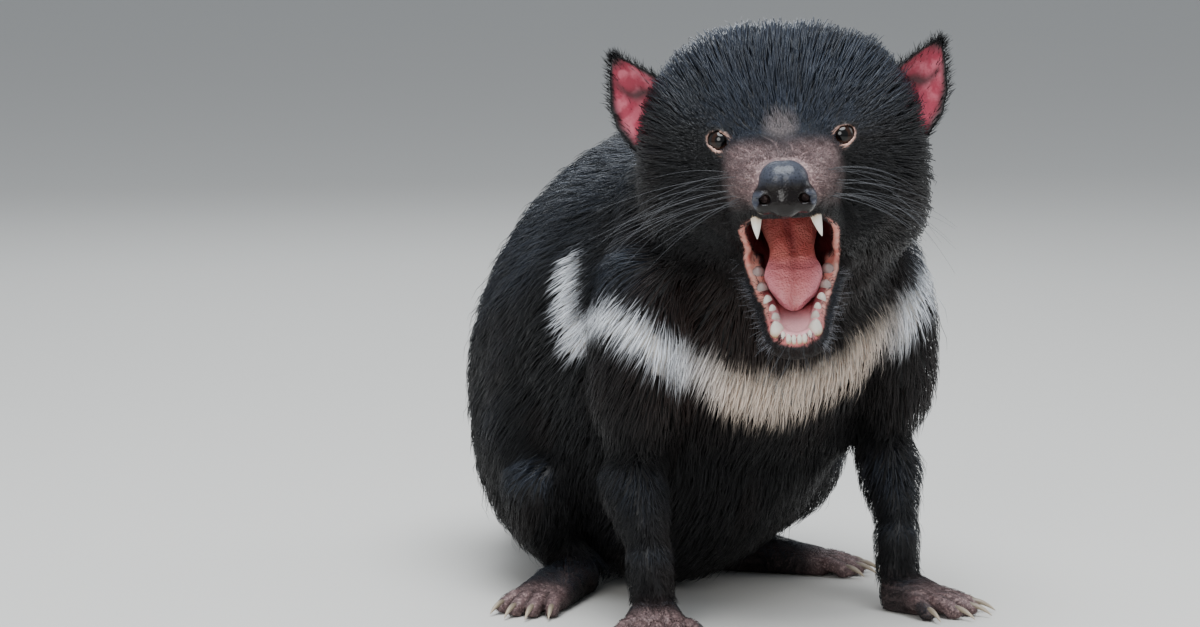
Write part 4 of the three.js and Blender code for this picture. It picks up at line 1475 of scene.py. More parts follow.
def claw_paths():
    """Middle lines of the claws and their girths."""
    t = np.linspace(0, 1, CLAW_POINTS)
    paths, girths = [], []
    height = CLAW_HEIGHT + CLAW_ARCH * np.sin(math.pi * t) - CLAW_FALL * t ** 2.2
    for spec, _, origin, axes in feet():
        for x, y, spread, length, _, claw in spec["toes"]:
            reach = length + claw * (-0.45 + 1.45 * t)
            line = [x + math.sin(spread) * reach, y - math.cos(spread) * reach, height]
            paths.append(origin + np.stack(line, axis=-1) @ axes.T)
            girths.append(CLAW_RADIUS * np.maximum(1 - t ** 2, 0.03) ** 0.7)
    return np.array(paths), np.array(girths)


# Whiskers: middle of each patch in the head frame, its reach, the way they
# leave it, their lengths, how many there are and how far they bend down
WHISKER_PATCHES = [
    ((25, -42, -22), (5, 12, 9), (0.9, 0.16, -0.05), (36, 66), 19, 0.24),
    ((44, -2, 17), (5, 4, 3), (0.7, -0.25, 0.65), (26, 40), 4, -0.25),
    ((56, 14, -36), (5, 6, 6), (0.85, -0.1, -0.3), (32, 48), 7, 0.25),
    ((9, -28, -108), (8, 8, 5), (0.3, -0.45, -0.75), (14, 26), 7, 0.1),
]
WHISKER_POINTS = 14
# A whisker's radius at its root, and how much more it is for each mm of its length
WHISKER_RADIUS, WHISKER_GROWTH = 0.08, 0.0013
WHISKER_TIP = 0.25
BRISTLES = 170
BRISTLE_POINTS = 6
BRISTLE_LENGTHS = (4, 10)
BRISTLE_RADIUS, BRISTLE_TIP = 0.11, 0.3


def nearest(tree, points):
    """The nearest places on a surface to points, and its normals there."""
    found = np.empty((len(points), 2, 3))
    for k, point in enumerate(points):
        place, normal = tree.find_nearest(point)[:2]
        found[k, 0], found[k, 1] = place, normal
    return found[:, 0], found[:, 1]


def surface_tree(item):
    """A tree for finding the nearest places on a mesh object."""
    return BVHTree.FromPolygons(mesh_points(item)[0].tolist(), mesh_triangles(item).tolist())


def whisker_paths(tree, scale):
    """Paths of the whiskers from their patches on the skin, and their girths."""
    rng = np.random.default_rng(SEEDS["whiskers"])
    paths, girths = [], []
    for mirror in SIDES.values():
        flip = np.array([mirror, 1, 1])
        for centre, reach, way, lengths, count, droop in WHISKER_PATCHES:
            spots = (np.array(centre) + rng.uniform(-1, 1, (count, 3)) * reach) * flip
            roots, normals = nearest(tree, from_head(spots))
            ways = (np.array(way) + rng.normal(0, 0.17, (count, 3))) * flip @ HEAD_AXES.T
            ways = unit(ways + normals * 0.25)
            sizes = rng.uniform(*lengths, count) * scale
            aside_bend = rng.normal(0, 0.06, count)
            down_bend = -droop - rng.uniform(0, 0.1, count)
            bends = np.stack([aside_bend, np.full(count, 0.2), down_bend], axis=1)
            paths.append(bent_paths(roots - normals, ways, sizes, bends, WHISKER_POINTS))
            taper = np.linspace(1, WHISKER_TIP, WHISKER_POINTS)
            girths.append(taper * (WHISKER_RADIUS + WHISKER_GROWTH * sizes)[:, None])
    return np.concatenate(paths), np.concatenate(girths)


def bristle_paths(tree, scale):
    """Short pale bristles along the outside of the lips."""
    rng = np.random.default_rng(SEEDS["bristles"])
    t = rng.uniform(0, 1, BRISTLES)
    mirror = rng.choice([-1, 1], BRISTLES)
    along = 56 + 61 * t ** 0.8
    lower = jaw_point(jaw_half_width(along) * mirror, along, 3.5)
    ahead = np.array([0, -0.1, -0.15]) + np.stack([0.6 * mirror, -0.3 * t, -0.6 * t], axis=1)
    roots, normals = nearest(tree, from_head(lower))
    ways = unit(ahead @ HEAD_AXES.T + normals * 0.5 + rng.normal(0, 0.2, (BRISTLES, 3)))
    sizes = rng.uniform(*BRISTLE_LENGTHS, BRISTLES) * scale
    bends = rng.normal(0, 0.08, (BRISTLES, 3))
    girths = np.linspace(1, BRISTLE_TIP, BRISTLE_POINTS) * np.full((BRISTLES, 1), BRISTLE_RADIUS)
    return bent_paths(roots - normals, ways, sizes, bends, BRISTLE_POINTS), girths


# Coat

def lie_at(points):
    """The way the hair lies at each place, before it is laid on the skin."""
    way = bone_weights(points) @ all_bones()[3]
    h = to_head(points)
    radial = unit(h - [0, -80, -22])
    radial[:, 2] -= 0.28 * step(10, -40, h[:, 2]) * step(-30, 20, h[:, 1])
    share = head_share(points)[:, None]
    way = way * (1 - share) + (unit(radial) @ HEAD_AXES.T) * share
    for _, _, origin, axes in feet():
        p = points - origin
        near = step(34, 18, np.hypot(p[:, 0], p[:, 1])) * step(26, 12, points[:, 2])
        toward = -axes[:, 1] - [0, 0, 0.25]
        way += 3 * near[:, None] * (toward - way)
    return unit(way)


def coat_length(points, depth, devil):
    """How long the hair is at each place, in mm."""
    h = to_head(points)
    ruff = step(6, 50, h[:, 1]) * step(40, 66, np.abs(h[:, 0])) * step(40, -10, h[:, 2])
    brow = step(-26, -2, h[:, 1]) * step(-10, 20, h[:, 2]) * head_share(points)
    length = 0.9 + 2.3 * depth * (1 + 0.25 * ruff * head_share(points)) + 1.6 * brow
    return length * devil.coat_length


# Half the width of the shortest tuft, and how much more it is for each mm of length
TUFT_RADIUS, TUFT_GROWTH = 0.105, 0.0105


def tuft_girth(length):
    """Half the width of a tuft of some length."""
    return TUFT_RADIUS + TUFT_GROWTH * length


def depth_at(points):
    """The coat's depth at places on the skin, as the skin was made with."""
    depth = body_coat_depth(points)
    h = to_head(points)
    x = np.abs(h[:, 0])
    coat = head_coat_depth(x, h[:, 1], h[:, 2], mouth_space(x, h[:, 1], h[:, 2]))
    return depth + (coat - depth) * head_share(points)


def laid(ways, normals):
    """Ways turned into the skin's own plane."""
    return unit(ways - normals * np.einsum("ij,ij->i", ways, normals)[:, None])


def scattered(item, devil):
    """Roots spread over the skin as thickly as their hair's length asks, and normals."""
    points, normals = mesh_points(item)
    corners = mesh_triangles(item)
    a, b, c = points[corners[:, 0]], points[corners[:, 1]], points[corners[:, 2]]
    area = np.linalg.norm(np.cross(b - a, c - a), axis=1) / 2
    places = (a + b + c) / 3
    facing = unit(normals[corners].sum(1))
    length = coat_length(places, depth_at(places), devil)
    density = 1 / (length * tuft_girth(length)) ** devil.evenness
    marks = {}
    for key in ("lining", "lip", "ring", "bare"):
        values = np.empty(len(points), np.float32)
        item.data.attributes[key].data.foreach_get("value", values)
        marks[key] = values[corners].mean(1)
    h = to_head(places)
    free = (1 - marks["lining"]) * (1 - marks["lip"]) * (1 - marks["ring"])
    free *= 1 - 0.55 * marks["bare"]
    p = folded(h)
    from_nose = np.minimum(ellipsoid(p, *NOSE["ball"]), ellipsoid(p, *NOSE["wing"]))
    free *= 1 - step(2.5, 0.5, from_nose)
    hidden = step(1.5, 0.6, places[:, 2]) * (facing[:, 2] < -0.5)
    front = 1 + 0.8 * head_share(places) * step(60, 20, h[:, 1])
    wanted = area * density * free * front * (1 - hidden)
    wanted *= devil.tufts / wanted.sum()
    running = np.concatenate([[0], np.cumsum(wanted)])
    rng = np.random.default_rng(SEEDS["roots"])
    count = int(running[-1])
    where = np.searchsorted(running, np.arange(count) + rng.uniform(0, 1, count), side="right") - 1
    where = np.clip(where, 0, len(corners) - 1)
    u, v = rng.uniform(0, 1, (2, count))
    flip = u + v > 1
    u, v = np.where(flip, 1 - u, u), np.where(flip, 1 - v, v)
    w = 1 - u - v
    mixed = [k[:, None] for k in (w, u, v)]
    root = sum(points[corners[where, k]] * mixed[k] for k in range(3))
    normal = unit(sum(normals[corners[where, k]] * mixed[k] for k in range(3)))
    return root, normal


def clump_pull(roots, size, seed):
    """From each root toward the middle of its clump."""
    rng = np.random.default_rng(seed)
    cell = np.floor((roots + wave_noise(roots, size * 2.1, seed)[:, None] * size) / size).astype(int)
    cell -= cell.min(0)
    spans = cell.max(0) + 1
    number = (cell[:, 0] * spans[1] + cell[:, 1]) * spans[2] + cell[:, 2]
    _, index, counts = np.unique(number, return_inverse=True, return_counts=True)
    middle_of = np.stack([np.bincount(index, roots[:, k]) / counts for k in range(3)], axis=1)
    middle_of += rng.normal(0, size * 0.12, middle_of.shape)
    return middle_of[index] - roots


# Size of a clump of tufts in mm
CLUMP = 5.5

FAR = 1e6
# Pieces of the body's coat and the boxes they fill, in the body's measure with x made
# positive. A later box overrules the ones before it.
COAT_BOXES = [
    ("trunk", (-FAR, -FAR, -FAR), (FAR, FAR, FAR)), ("rump", (-FAR, 150, -FAR), (FAR, FAR, FAR)),
    ("throat", (-FAR, -FAR, 90), (62, 40, FAR)), ("arm", (58, -FAR, -FAR), (FAR, 62, 180)),
    ("arm", (-FAR, -FAR, -FAR), (FAR, 60, 90)), ("leg", (50, 90, -FAR), (FAR, FAR, 120)),
    ("leg", (-FAR, 90, -FAR), (FAR, FAR, 25)), ("tail", (-FAR, 285, -FAR), (FAR, FAR, FAR)),
]
# The point and the axis that each piece's own shape unwraps about, the head's in its
# own frame
COAT_AXES = {
    "head": ((0, 40, -16), (0, 1, 0)), "throat": ((0, -20, 190), (0, 0.4, -1)),
    "trunk": ((0, 100, 150), (0, 1, -0.5)), "rump": ((0, 220, 90), (0, 1, -0.4)),
    "arm": ((78, 20, 100), (0, 0, 1)), "leg": ((75, 160, 70), (0, 0.3, 1)),
    "tail": ((70, 350, 22), (0.8, 0.6, 0)),
}


def coat_parts(points):
    """Which piece of the coat each root belongs to, as names."""
    body = points - BODY_ORIGIN
    h = to_head(points)
    part = np.full(len(points), "", object)
    for name, low, high in COAT_BOXES:
        part[((folded(body) > low) & (folded(body) < high)).all(1)] = name
    on_head = head_share(points) > 0.5
    sides = np.where(body[:, 0] > 0, "_left", "_right").astype(object)
    sides[(part == "tail") | (part == "throat")] = ""
    names = part + sides
    high, front = h[:, 2] > 0, h[:, 1] < 20
    head_names = np.where(high, "head_top", np.where(front, "head_front", "head_cheek")).astype(object)
    head_names += np.where(h[:, 0] > 0, "_left", "_right").astype(object)
    names[on_head] = head_names[on_head]
    return names


def unwrapped(points, part):
    """Each place on an unwrap of the part's own shape, from 0 to 1."""
    kind = part.split("_")[0]
    centre, axis = COAT_AXES[kind]
    if kind == "head":
        p, axis = to_head(points) - centre, np.array(axis, float)
    else:
        flip = np.array([-1 if part.endswith("right") else 1, 1, 1])
        p, axis = points - from_body(np.array(centre) * flip), unit(np.array(axis, float))
    across = unit(np.cross(axis, [0.3, 0.2, 1]))
    up = np.cross(across, axis)
    angle = np.arctan2(p @ up, p @ across)
    tilt = np.arctan2(p @ axis, np.hypot(p @ across, p @ up))
    flat = np.stack([angle, tilt], axis=1)
    low, high = flat.min(0), flat.max(0)
    return 0.01 + 0.98 * (flat - low) / np.maximum(high - low, 1e-6)


# Half the size of a tuft's patch on the UV map, where a tuft's rings and tip stand
# along it, and how thick its rings are
UV_PATCH = 0.0015
STATIONS = {3: np.array([0, 0.5, 1]), 4: np.array([0, 0.36, 0.72, 1])}
GIRTHS = {3: np.array([0.75, 0.95]), 4: np.array([0.7, 1.0, 0.72])}


def spikes(lines, across, ups, radii, marks, uv):
    """Closed three-sided spikes along lines (spikes, stations, 3), ending in a point."""
    count, stations = lines.shape[:2]
    turn = np.arange(3) * 2 * math.pi / 3 + 0.5
    girth = GIRTHS[stations][None, :, None, None] * radii[:, None, None, None]
    spoke = (
        across[:, None, None] * np.cos(turn)[None, None, :, None]
        + ups[:, None, None] * np.sin(turn)[None, None, :, None] * 0.6
    )
    rings = lines[:, :-1, None] + girth * spoke
    size = 3 * (stations - 1) + 1
    points = np.concatenate([rings.reshape(count, -1, 3), lines[:, -1:]], axis=1)
    faces = [(0, 2, 1)]
    for ring in range(stations - 2):
        for k in range(3):
            a, b = 3 * ring + k, 3 * ring + (k + 1) % 3
            faces += [(a, b, b + 3), (a, b + 3, a + 3)]
    top = 3 * (stations - 2)
    faces += [(top + k, top + (k + 1) % 3, size - 1) for k in range(3)]
    faces = (np.array(faces)[None] + (np.arange(count) * size)[:, None, None]).reshape(-1, 3)
    parts = np.append(np.repeat(STATIONS[stations][:-1], 3), 1)
    spread = {}
    for key, values in marks.items():
        if values.ndim == 1:
            spread[key] = np.repeat(values, size)
        else:
            early, late = np.clip(2 * parts, 0, 1), np.clip(2 * parts - 1, 0, 1)
            ends = [values[:, [k]] for k in range(3)]
            spread[key] = (ends[0] + (ends[1] - ends[0]) * early + (ends[2] - ends[1]) * late).ravel()
    # Each tuft darkens toward its root: painted shade deep in the coat
    shade = np.clip(marks["shade"][:, None] * (0.55 + 0.45 * parts), 0, 1)
    spread["shade"] = shade.ravel()
    offsets = np.append(np.tile(turn, stations - 1), 0)
    radius = UV_PATCH * (1 - parts)
    patch = np.stack([np.cos(offsets) * radius, np.sin(offsets) * radius], axis=1)
    return points.reshape(-1, 3), faces, spread, (uv[:, None] + patch).reshape(-1, 2)


def coat_lines(root, normal, way, length, lift, tree, stations):
    """Lines that leave the skin and are laid over it along the way."""
    half, _ = nearest(tree, root + way * (length * 0.5)[:, None])
    end, end_normal = nearest(tree, root + way * length[:, None])
    start = root - normal * 0.7
    mid = half + normal * (lift * 0.78)[:, None]
    tip = end + unit(end_normal + normal) * lift[:, None]
    t = STATIONS[stations][None, :, None]
    line = start[:, None] * (1 - t) * (1 - 2 * t) + mid[:, None] * 4 * t * (1 - t)
    return line + tip[:, None] * t * (2 * t - 1)


# How high over the floor a tuft's line and its corners stay, in mm
TUFT_FLOOR = 0.8
COAT_FLOOR = 0.1
# The part of the tufts that stray, where the coat is deeper than this: how much they
# lift, how long and how thin they are beside the others
STRAYS = 0.02
STRAY_DEPTH = 3
STRAY_LIFT, STRAY_LENGTH, STRAY_GIRTH = 1.4, 1.3, 0.5
# Places along a tuft that the band's colour is read at
BAND_PARTS = (0.25, 0.6, 1.0)


def build_coat(skin, devil):
    """The coat's pieces, with each tuft bent over the skin and marked."""
    root, normal = scattered(skin, devil)
    count = len(root)
    rng = np.random.default_rng(SEEDS["coat"])
    tree = surface_tree(skin)
    depth = depth_at(root)
    length = coat_length(root, depth, devil) * rng.uniform(0.7, 1.25, count)
    way = lie_at(root)
    swirl = np.stack([wave_noise(root, *noise) for noise in SWIRL_NOISES], axis=1)
    way = laid(way + devil.swirl * swirl + rng.normal(0, 0.09, (count, 3)), normal)
    pull = clump_pull(root, CLUMP, SEEDS["clumps"]) * devil.clumping
    pull -= normal * np.einsum("ij,ij->i", pull, normal)[:, None]
    aim = laid(way * length[:, None] + pull, normal)
    stray = (rng.uniform(0, 1, count) < STRAYS) & (depth > STRAY_DEPTH)
    lift = depth * np.clip(rng.normal(0.7, 0.1, count), 0.35, 1)
    lift = lift + 0.14 * depth * named_noise(root, "lift")
    crown = head_share(root) * step(0, 30, to_head(root)[:, 2])
    lift += crown * depth * (0.3 * named_noise(root, "crown") + 0.12)
    length = length * (1 + 0.3 * crown)
    lift = np.where(stray, lift * STRAY_LIFT + 1, lift)
    length = np.where(stray, length * STRAY_LENGTH, length)
    radius = tuft_girth(length) * devil.tuft_width * np.where(stray, STRAY_GIRTH, 1)
    across = unit(np.cross(aim, normal))
    middle_of = root + aim * (length * 0.45)[:, None]
    marks = fur_marks(middle_of, normal)
    on_body = 1 - step(0.4, 0.8, head_share(root))
    marks["band"] = np.stack([
        band_mask(root + aim * (length * part)[:, None], normal) * on_body
        for part in BAND_PARTS
    ], axis=1)
    shade = 0.64 + 0.24 * named_noise(root, "shade") + 0.16 * named_noise(root, "shade_fine")
    marks["shade"] = np.clip(shade + rng.normal(0, 0.14, count), 0.05, 1)
    names = coat_parts(root)
    pieces = []
    for part in sorted(set(names)):
        chosen = names == part
        uv = unwrapped(root[chosen], part)
        long = length[chosen] > devil.long_from
        points, faces, spread, patches, first = [], [], [], [], 0
        for stations, which in ((3, ~long), (4, long)):
            if not which.any():
                continue
            own = np.flatnonzero(chosen)[which]
            here = (root[own], normal[own], aim[own], length[own], lift[own])
            line = coat_lines(*here, tree, stations)
            line[:, 1:, 2] = np.maximum(line[:, 1:, 2], TUFT_FLOOR)
            own_marks = {key: values[own] for key, values in marks.items()}
            p, f, s, q = spikes(
                line, across[own], normal[own], radius[own], own_marks, uv[which]
            )
            points.append(p)
            faces.append(f + first)
            spread.append(s)
            patches.append(q)
            first += len(p)
        faces = np.concatenate(faces)
        if len(faces) >= PIECE_FACES:
            raise RuntimeError(f"coat piece {part} has {len(faces)} triangles")
        points = np.concatenate(points)
        points[:, 2] = np.maximum(points[:, 2], COAT_FLOOR)
        joined = {key: np.concatenate([s[key] for s in spread]) for key in spread[0]}
        pieces.append(add_coat(part, points, faces, joined, np.concatenate(patches)))
    return pieces


def add_coat(part, points, faces, marks, patches):
    """One piece of the coat, with its UV map."""
    item = add_mesh(f"devil_coat_{part}", points, faces, marks)
    layer = item.data.uv_layers.new(name="OFBake")
    layer.data.foreach_set("uv", patches[faces.ravel()].astype(np.float32).ravel())
    return item


def build_ear_coat(side, devil):
    """Short fur on the back of an ear and a fringe round its edge."""
    rng = np.random.default_rng(SEEDS["ears"])
    ear = bpy.data.objects[f"devil_ear_{side}"]
    points, normals = mesh_points(ear)
    h = to_head(points)
    flip = np.array([SIDES[side], 1, 1])
    axis = unit((EAR_TIP - EAR_BASE) * flip)
    place = (h - EAR_BASE * flip) @ axis / np.linalg.norm(EAR_TIP - EAR_BASE)
    across = unit(np.cross(EAR_TIP - EAR_BASE, EAR_FACING)) * flip
    out = (h - EAR_BASE * flip) @ across
    half = np.interp(place, np.linspace(0, 1, len(EAR_WIDTHS)), EAR_WIDTHS)
    edge = np.clip(np.abs(out) / half, 0, 1)
    front = np.arange(len(points)) < len(points) // 2
    weight = np.where(front, 1.6 * step(0.7, 0.97, edge) + 0.07, 0.55 + 1.2 * step(0.8, 1, edge))
    weight += np.where(front, step(0.84, 0.97, place), 0)
    weight *= step(EAR_ROOT, -0.2, place)
    weight += np.where(front, 2.0 * step(0.12, -0.08, place), 0)
    chosen = rng.choice(len(points), devil.ear_tufts, p=weight / weight.sum())
    root = points[chosen] + rng.normal(0, 0.45, (devil.ear_tufts, 3))
    normal = normals[chosen]
    outer = (np.sign(out[chosen]) * step(0.7, 1, edge[chosen]))[:, None] * across
    low = step(0.25, -0.05, place[chosen]) * front[chosen]
    way = axis * 0.9 + outer * 0.5 + rng.normal(0, 0.14, (devil.ear_tufts, 3))
    way = laid(way @ HEAD_AXES.T, normal)
    length = (3.8 + 2.0 * edge[chosen] + 9 * low) * rng.uniform(0.6, 1.3, devil.ear_tufts)
    lift = 0.3 + 0.12 * length * rng.uniform(0.2, 1, devil.ear_tufts)
    t = STATIONS[3][None, :, None]
    line = root[:, None] + way[:, None] * t * length[:, None, None]
    line += normal[:, None] * (t ** 0.7 * lift[:, None, None] - 0.4)
    unmarked = ("band", "chest_shade", "warm", "sky_sheen", "pale", "mauve")
    marks = {key: np.zeros(devil.ear_tufts) for key in unmarked}
    marks["shade"] = rng.uniform(0.15, 0.8, devil.ear_tufts)
    flat = np.stack([out[chosen], place[chosen] * 40], axis=1)
    uv = 0.01 + 0.98 * (flat - flat.min(0)) / (flat.max(0) - flat.min(0))
    across_way = unit(np.cross(way, normal))
    return add_coat(f"ear_{side}", *spikes(line, across_way, normal, 0.11 + 0.01 * length, marks, uv))


# Settings in the sidebar

COLOURS = [
    # The deep coat colour is painted shade toward the roots, and darker tufts at random
    ("coat", "Coat", "#0c0c10"), ("coat_deep", "Coat, deep", "#030304"),
    # The sheen colour is a painted bluish sky sheen on hair that faces up
    ("coat_warm", "Coat, throat", "#2c1e19"), ("coat_cool", "Coat, sheen", "#323945"),
    # The band's white has a painted bluish sky tint, its chest colour is a cream tint of painted warm
    # shade, and its root colour is painted shade among the tufts
    ("band", "Band", "#f4f8ff"), ("band_cream", "Band, chest", "#f3dfcd"),
    ("band_shade", "Band, roots", "#cfcac6"), ("pale_hair", "Brow patch", "#857a78"),
    ("skin_dark", "Skin under the coat", "#0b0a0c"), ("skin_band", "Skin under the band", "#cfcac4"),
    ("skin_bare", "Bare skin", "#6e5656"), ("skin_bare_dark", "Bare skin, darker", "#503d3d"),
    ("skin_speckle", "Bare skin, speckles", "#ab908a"),
    ("bare_hair", "Hair of the muzzle", "#968280"), ("mouth_floor", "Mouth floor", "#f0b6ba"),
    # The throat colour is painted shade at the back of the mouth
    ("throat", "Throat", "#360c10"),
    ("lip_front", "Lips, chin", "#cc6a70"), ("lid", "Lids", "#c39a8b"),
    ("lining", "Mouth lining", "#7d2a30"), ("lining_pale", "Mouth lining, paler", "#b65a5c"),
    ("lip", "Lips", "#d27c70"), ("lip_pale", "Lips, paler", "#dfaa9b"),
    ("tongue", "Tongue", "#c05f58"), ("tongue_pale", "Tongue, paler", "#cc766c"),
    # The groove colour is painted shade in the tongue's groove and crease
    ("tongue_front", "Tongue, front", "#dc8790"), ("tongue_deep", "Tongue, groove", "#8a3538"),
    # The nose's top colour is a painted bluish sky sheen, and its pebble colour a painted highlight
    ("nose_front", "Nose", "#0a0403"), ("nose_top", "Nose, top", "#1d2028"),
    ("nose_pale", "Nose, pebbles", "#4a4e5b"), ("ear_upper", "Ear, upper", "#8f2038"),
    ("ear_lower", "Ear, lower", "#b8495c"), ("ear_pale", "Ear, veins", "#cf7080"),
    # The fold colour is painted shade in the ear's fold
    ("ear_dark", "Ear, fold", "#3c0f18"), ("tooth", "Teeth", "#f1ece0"),
    # The back teeth colour is painted shade
    ("tooth_root", "Teeth, roots", "#c39a62"), ("tooth_back", "Teeth, back", "#8a706e"),
    ("claw", "Claws", "#a39580"),
    ("claw_root", "Claws, roots", "#4e4238"), ("whisker", "Whiskers", "#232427"),
    ("whisker_tip", "Whiskers, tips", "#74767c"), ("iris", "Iris", "#2e180c"),
    ("iris_dark", "Iris, darker", "#120905"), ("pupil", "Pupil", "#020202"),
    ("eye_rim", "Eye, rim", "#0c0706"), ("floor", "Floor", "#c9c7c2"),
    ("floor_shade", "Floor, darker", "#bdbbb6"),
]


def colour_setting(label, value):
    return bpy.props.FloatVectorProperty(
        name=label, description=f"Colour: {label.lower()}", subtype="COLOR", size=3,
        min=0, max=1, default=linear(value),
    )


def count_setting(label, words, value, low):
    return bpy.props.IntProperty(name=label, description=words, default=value, min=low)


def size_setting(label, words, value, low):
    return bpy.props.FloatProperty(name=label, description=words, default=value, min=low)


class DevilColours(bpy.types.PropertyGroup):
    """Colours of the animal and the floor."""

    __annotations__ = {key: colour_setting(label, value) for key, label, value in COLOURS}


class DevilSizes(bpy.types.PropertyGroup):
    """Sizes and numbers of the animal's parts."""

    skin_faces: count_setting("Skin triangles", "Triangles of the skin", 190_000, 20_000)
    tufts: count_setting("Tufts", "Tufts in the coat", 114_000, 1000)
    ear_tufts: count_setting("Ear tufts", "Tufts on each ear", 2600, 10)
    coat_length: size_setting("Coat length", "Times the hair's natural length", 1.0, 0.2)
    tuft_width: size_setting("Tuft width", "Times the tufts' natural width", 1.0, 0.2)
    clumping: size_setting("Clumping", "How far tufts lean into clumps", 0.5, 0)
    swirl: size_setting("Swirl", "How much the lie of the hair wanders", 0.24, 0)
    evenness: size_setting("Evenness", "How much thicker short hair grows", 0.8, 0)
    long_from: size_setting("Long from", "Length in mm from which a tuft bends more", 15, 1)
    whisker_length: size_setting("Whisker length", "Times their natural length", 1.0, 0.1)


def made_skin():
    """The skin that other pieces grow from."""
    skin = bpy.data.objects.get("devil_skin")
    if skin is None:
        raise RuntimeError("The skin comes first")
    return skin


class MakesPieces(bpy.types.Operator):
    """What the operators share."""

    bl_options = {"REGISTER"}

    def carry(self, item, material, slot, *nodes):
        """Gives a finished piece its material and body, and hides the solids it stands for. The slot is
        not used.
        """
        item.data.materials.clear()
        item.data.materials.append(material)
        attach(item, BODY)
        if nodes:
            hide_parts(*nodes)


class MakeSkin(MakesPieces):
    """Builds one skin for the head, body, limbs and tail."""

    bl_idname = "devil.skin"
    bl_label = "Skin"

    def execute(self, context):
        scene = context.scene
        item = build_skin(scene.devil_sizes)
        self.carry(item, skin_finish(scene.devil_colours), "coat", *FLESH, *FEET)
        return {"FINISHED"}


class MakeEyes(MakesPieces):
    """Builds the eyeballs."""

    bl_idname = "devil.eyes"
    bl_label = "Eyes"

    def execute(self, context):
        material = eye_finish(context.scene.devil_colours)
        for side in SIDES:
            self.carry(build_eye(side), material, "eye", f"eye_{side}")
        return {"FINISHED"}


class MakeNose(MakesPieces):
    """Builds the leather of the nose."""

    bl_idname = "devil.nose"
    bl_label = "Nose"

    def execute(self, context):
        self.carry(build_nose(), nose_finish(context.scene.devil_colours), "nose_leather", "nose")
        return {"FINISHED"}


class MakeTongue(MakesPieces):
    """Builds the tongue."""

    bl_idname = "devil.tongue"
    bl_label = "Tongue"

    def execute(self, context):
        self.carry(build_tongue(), tongue_finish(context.scene.devil_colours), "mouth", "tongue")
        return {"FINISHED"}


class MakeEars(MakesPieces):
    """Builds the ears."""

    bl_idname = "devil.ears"
    bl_label = "Ears"

    def execute(self, context):
        material = ear_finish(context.scene.devil_colours)
        for side in SIDES:
            self.carry(build_ear(side), material, "ear_skin", f"ear_{side}")
        return {"FINISHED"}


class MakeTeeth(MakesPieces):
    """Builds the teeth."""

    bl_idname = "devil.teeth"
    bl_label = "Teeth"

    def execute(self, context):
        material = tooth_finish(context.scene.devil_colours)
        paths, girths, back_shade = tooth_paths()
        item = add_rods("devil_teeth", paths, girths, material, 14, marks={"back_shade": back_shade})
        self.carry(item, material, "tooth")
        return {"FINISHED"}


class MakeClaws(MakesPieces):
    """Builds the claws."""

    bl_idname = "devil.claws"
    bl_label = "Claws"

    def execute(self, context):
        material = claw_finish(context.scene.devil_colours)
        item = add_rods("devil_claws", *claw_paths(), material, 12)
        self.carry(item, material, "claw")
        return {"FINISHED"}


class MakeWhiskers(MakesPieces):
    """Builds the whiskers and the bristles along the lips, on the skin."""

    bl_idname = "devil.whiskers"
    bl_label = "Whiskers"

    def execute(self, context):
        tree = surface_tree(made_skin())
        scale = context.scene.devil_sizes.whisker_length
        material = whisker_finish(context.scene.devil_colours)
        for name, paths, pale in (
            ("devil_whiskers", whisker_paths(tree, scale), 0),
            ("devil_bristles", bristle_paths(tree, scale), 0.6),
        ):
            item = add_rods(name, *paths, material, 5, marks={"pale": pale})
            self.carry(item, material, "whisker")
        return {"FINISHED"}


class MakeCoat(MakesPieces):
    """Builds the coat's tufts over the skin and ears."""

    bl_idname = "devil.coat"
    bl_label = "Coat"

    def execute(self, context):
        sizes = context.scene.devil_sizes
        material = coat_finish(context.scene.devil_colours)
        pieces = build_coat(made_skin(), sizes)
        pieces += [build_ear_coat(side, sizes) for side in SIDES]
        for item in pieces:
            self.carry(item, material, "coat")
        return {"FINISHED"}


# Where the camera stands, from the body's origin, and its look down and aside
CAMERA_PLACE = np.array([-1125.0, -1989.9, 451.4])
CAMERA_TURN = (math.radians(83), 0, math.radians(-27))
CAMERA_LENS = 126.9
CAMERA_NEAR = 0.05
FLOOR_HALF = 60_000.0
ROOM_COLOUR = (0.78, 0.84, 0.92, 1)
ROOM_STRENGTH = 0.55
# Lights: place in m, what they face, size in m, power in W, colour
LIGHTS = {
    "overhead": ((-0.3, -0.6, 1.9), (0, 0, 0.2), 1.6, 72, (0.92, 0.96, 1)),
    "front": ((-1.5, -1.5, 1.0), (-0.05, -0.15, 0.22), 1.1, 19, (1, 0.99, 0.97)),
    "side": ((1.6, -0.4, 1.0), (0, 0, 0.2), 1.0, 5, (1, 0.98, 0.95)),
    "back": ((0.5, 1.6, 1.3), (0, 0, 0.2), 1.2, 12, (0.9, 0.95, 1)),
}


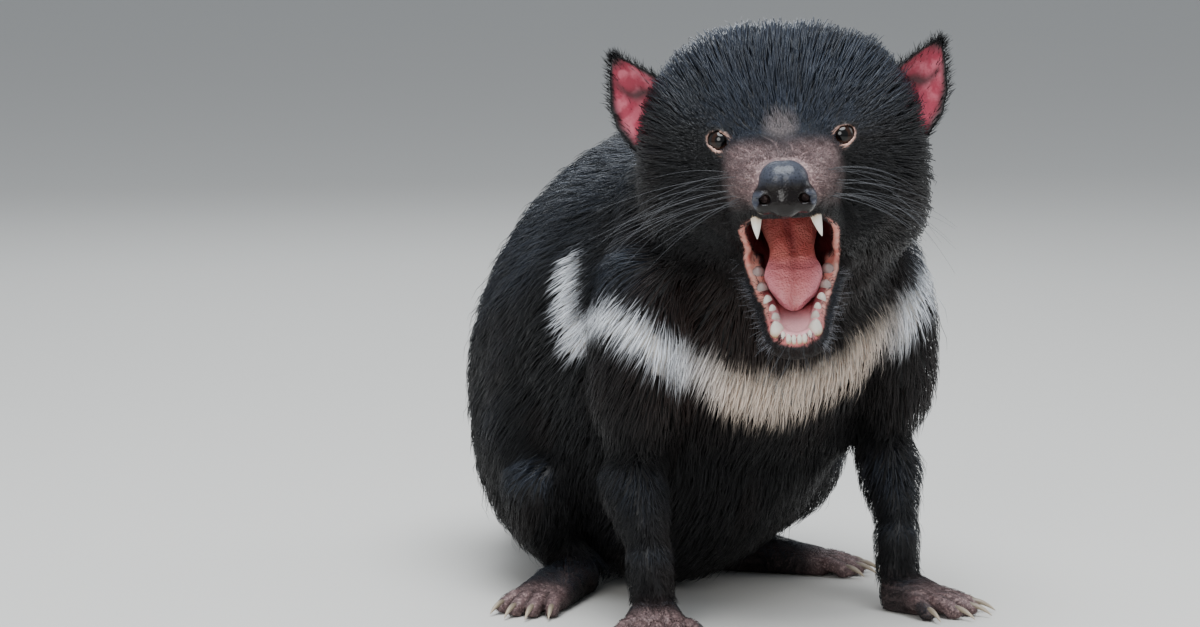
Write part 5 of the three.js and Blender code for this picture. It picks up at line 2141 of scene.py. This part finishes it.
class MakeStage(MakesPieces):
    """Sets the floor, the light and the camera."""

    bl_idname = "devil.stage"
    bl_label = "Stage"

    def execute(self, context):
        scene = context.scene
        corners = np.array([(-1, -1, 0), (1, -1, 0), (1, 1, 0), (-1, 1, 0)]) * FLOOR_HALF
        floor = add_mesh("stage_floor", corners, [(0, 1, 2, 3)])
        floor.data.materials.append(floor_finish(scene.devil_colours))
        world = bpy.data.worlds.new("stage_light")
        world.use_nodes = True
        background = world.node_tree.nodes["Background"]
        background.inputs["Color"].default_value = ROOM_COLOUR
        background.inputs["Strength"].default_value = ROOM_STRENGTH
        scene.world = world
        for name, (place, target, size, power, colour) in LIGHTS.items():
            lamp = bpy.data.lights.new(name, "AREA")
            lamp.shape = "DISK"
            lamp.size, lamp.energy, lamp.color = size, power, colour
            item = linked(name, lamp)
            item.location = place
            away = Vector(target) - Vector(place)
            item.rotation_euler = away.to_track_quat("-Z", "Y").to_euler()
        camera = bpy.data.cameras.new("camera")
        camera.lens = CAMERA_LENS
        camera.clip_start = CAMERA_NEAR
        item = linked("camera", camera)
        item.location = (BODY_ORIGIN + CAMERA_PLACE) * MM
        item.rotation_euler = CAMERA_TURN
        scene.camera = item
        return {"FINISHED"}


OPERATORS = [
    MakeSkin, MakeEyes, MakeNose, MakeTongue, MakeEars, MakeTeeth, MakeClaws, MakeWhiskers,
    MakeCoat, MakeStage,
]


class DevilPanel(bpy.types.Panel):
    """Lists the operators and the settings."""

    bl_idname = "VIEW3D_PT_devil"
    bl_label = "Tasmanian devil"
    bl_space_type = "VIEW_3D"
    bl_region_type = "UI"
    bl_category = "Devil"

    def draw(self, context):
        for operator in OPERATORS:
            self.layout.operator(operator.bl_idname)
        for group in (context.scene.devil_sizes, context.scene.devil_colours):
            box = self.layout.box()
            for key in group.bl_rna.properties.keys():
                if key not in ("rna_type", "name"):
                    box.prop(group, key)


CLASSES = [DevilColours, DevilSizes, *OPERATORS, DevilPanel]


def register():
    for item in CLASSES:
        bpy.utils.register_class(item)
    bpy.types.Scene.devil_sizes = bpy.props.PointerProperty(type=DevilSizes)
    bpy.types.Scene.devil_colours = bpy.props.PointerProperty(type=DevilColours)


def unregister():
    del bpy.types.Scene.devil_colours
    del bpy.types.Scene.devil_sizes
    for item in reversed(CLASSES):
        bpy.utils.unregister_class(item)


def main():
    register()
    for operator in OPERATORS:
        group, name = operator.bl_idname.split(".")
        getattr(getattr(bpy.ops, group), name)()


if __name__ == "__main__":
    main()
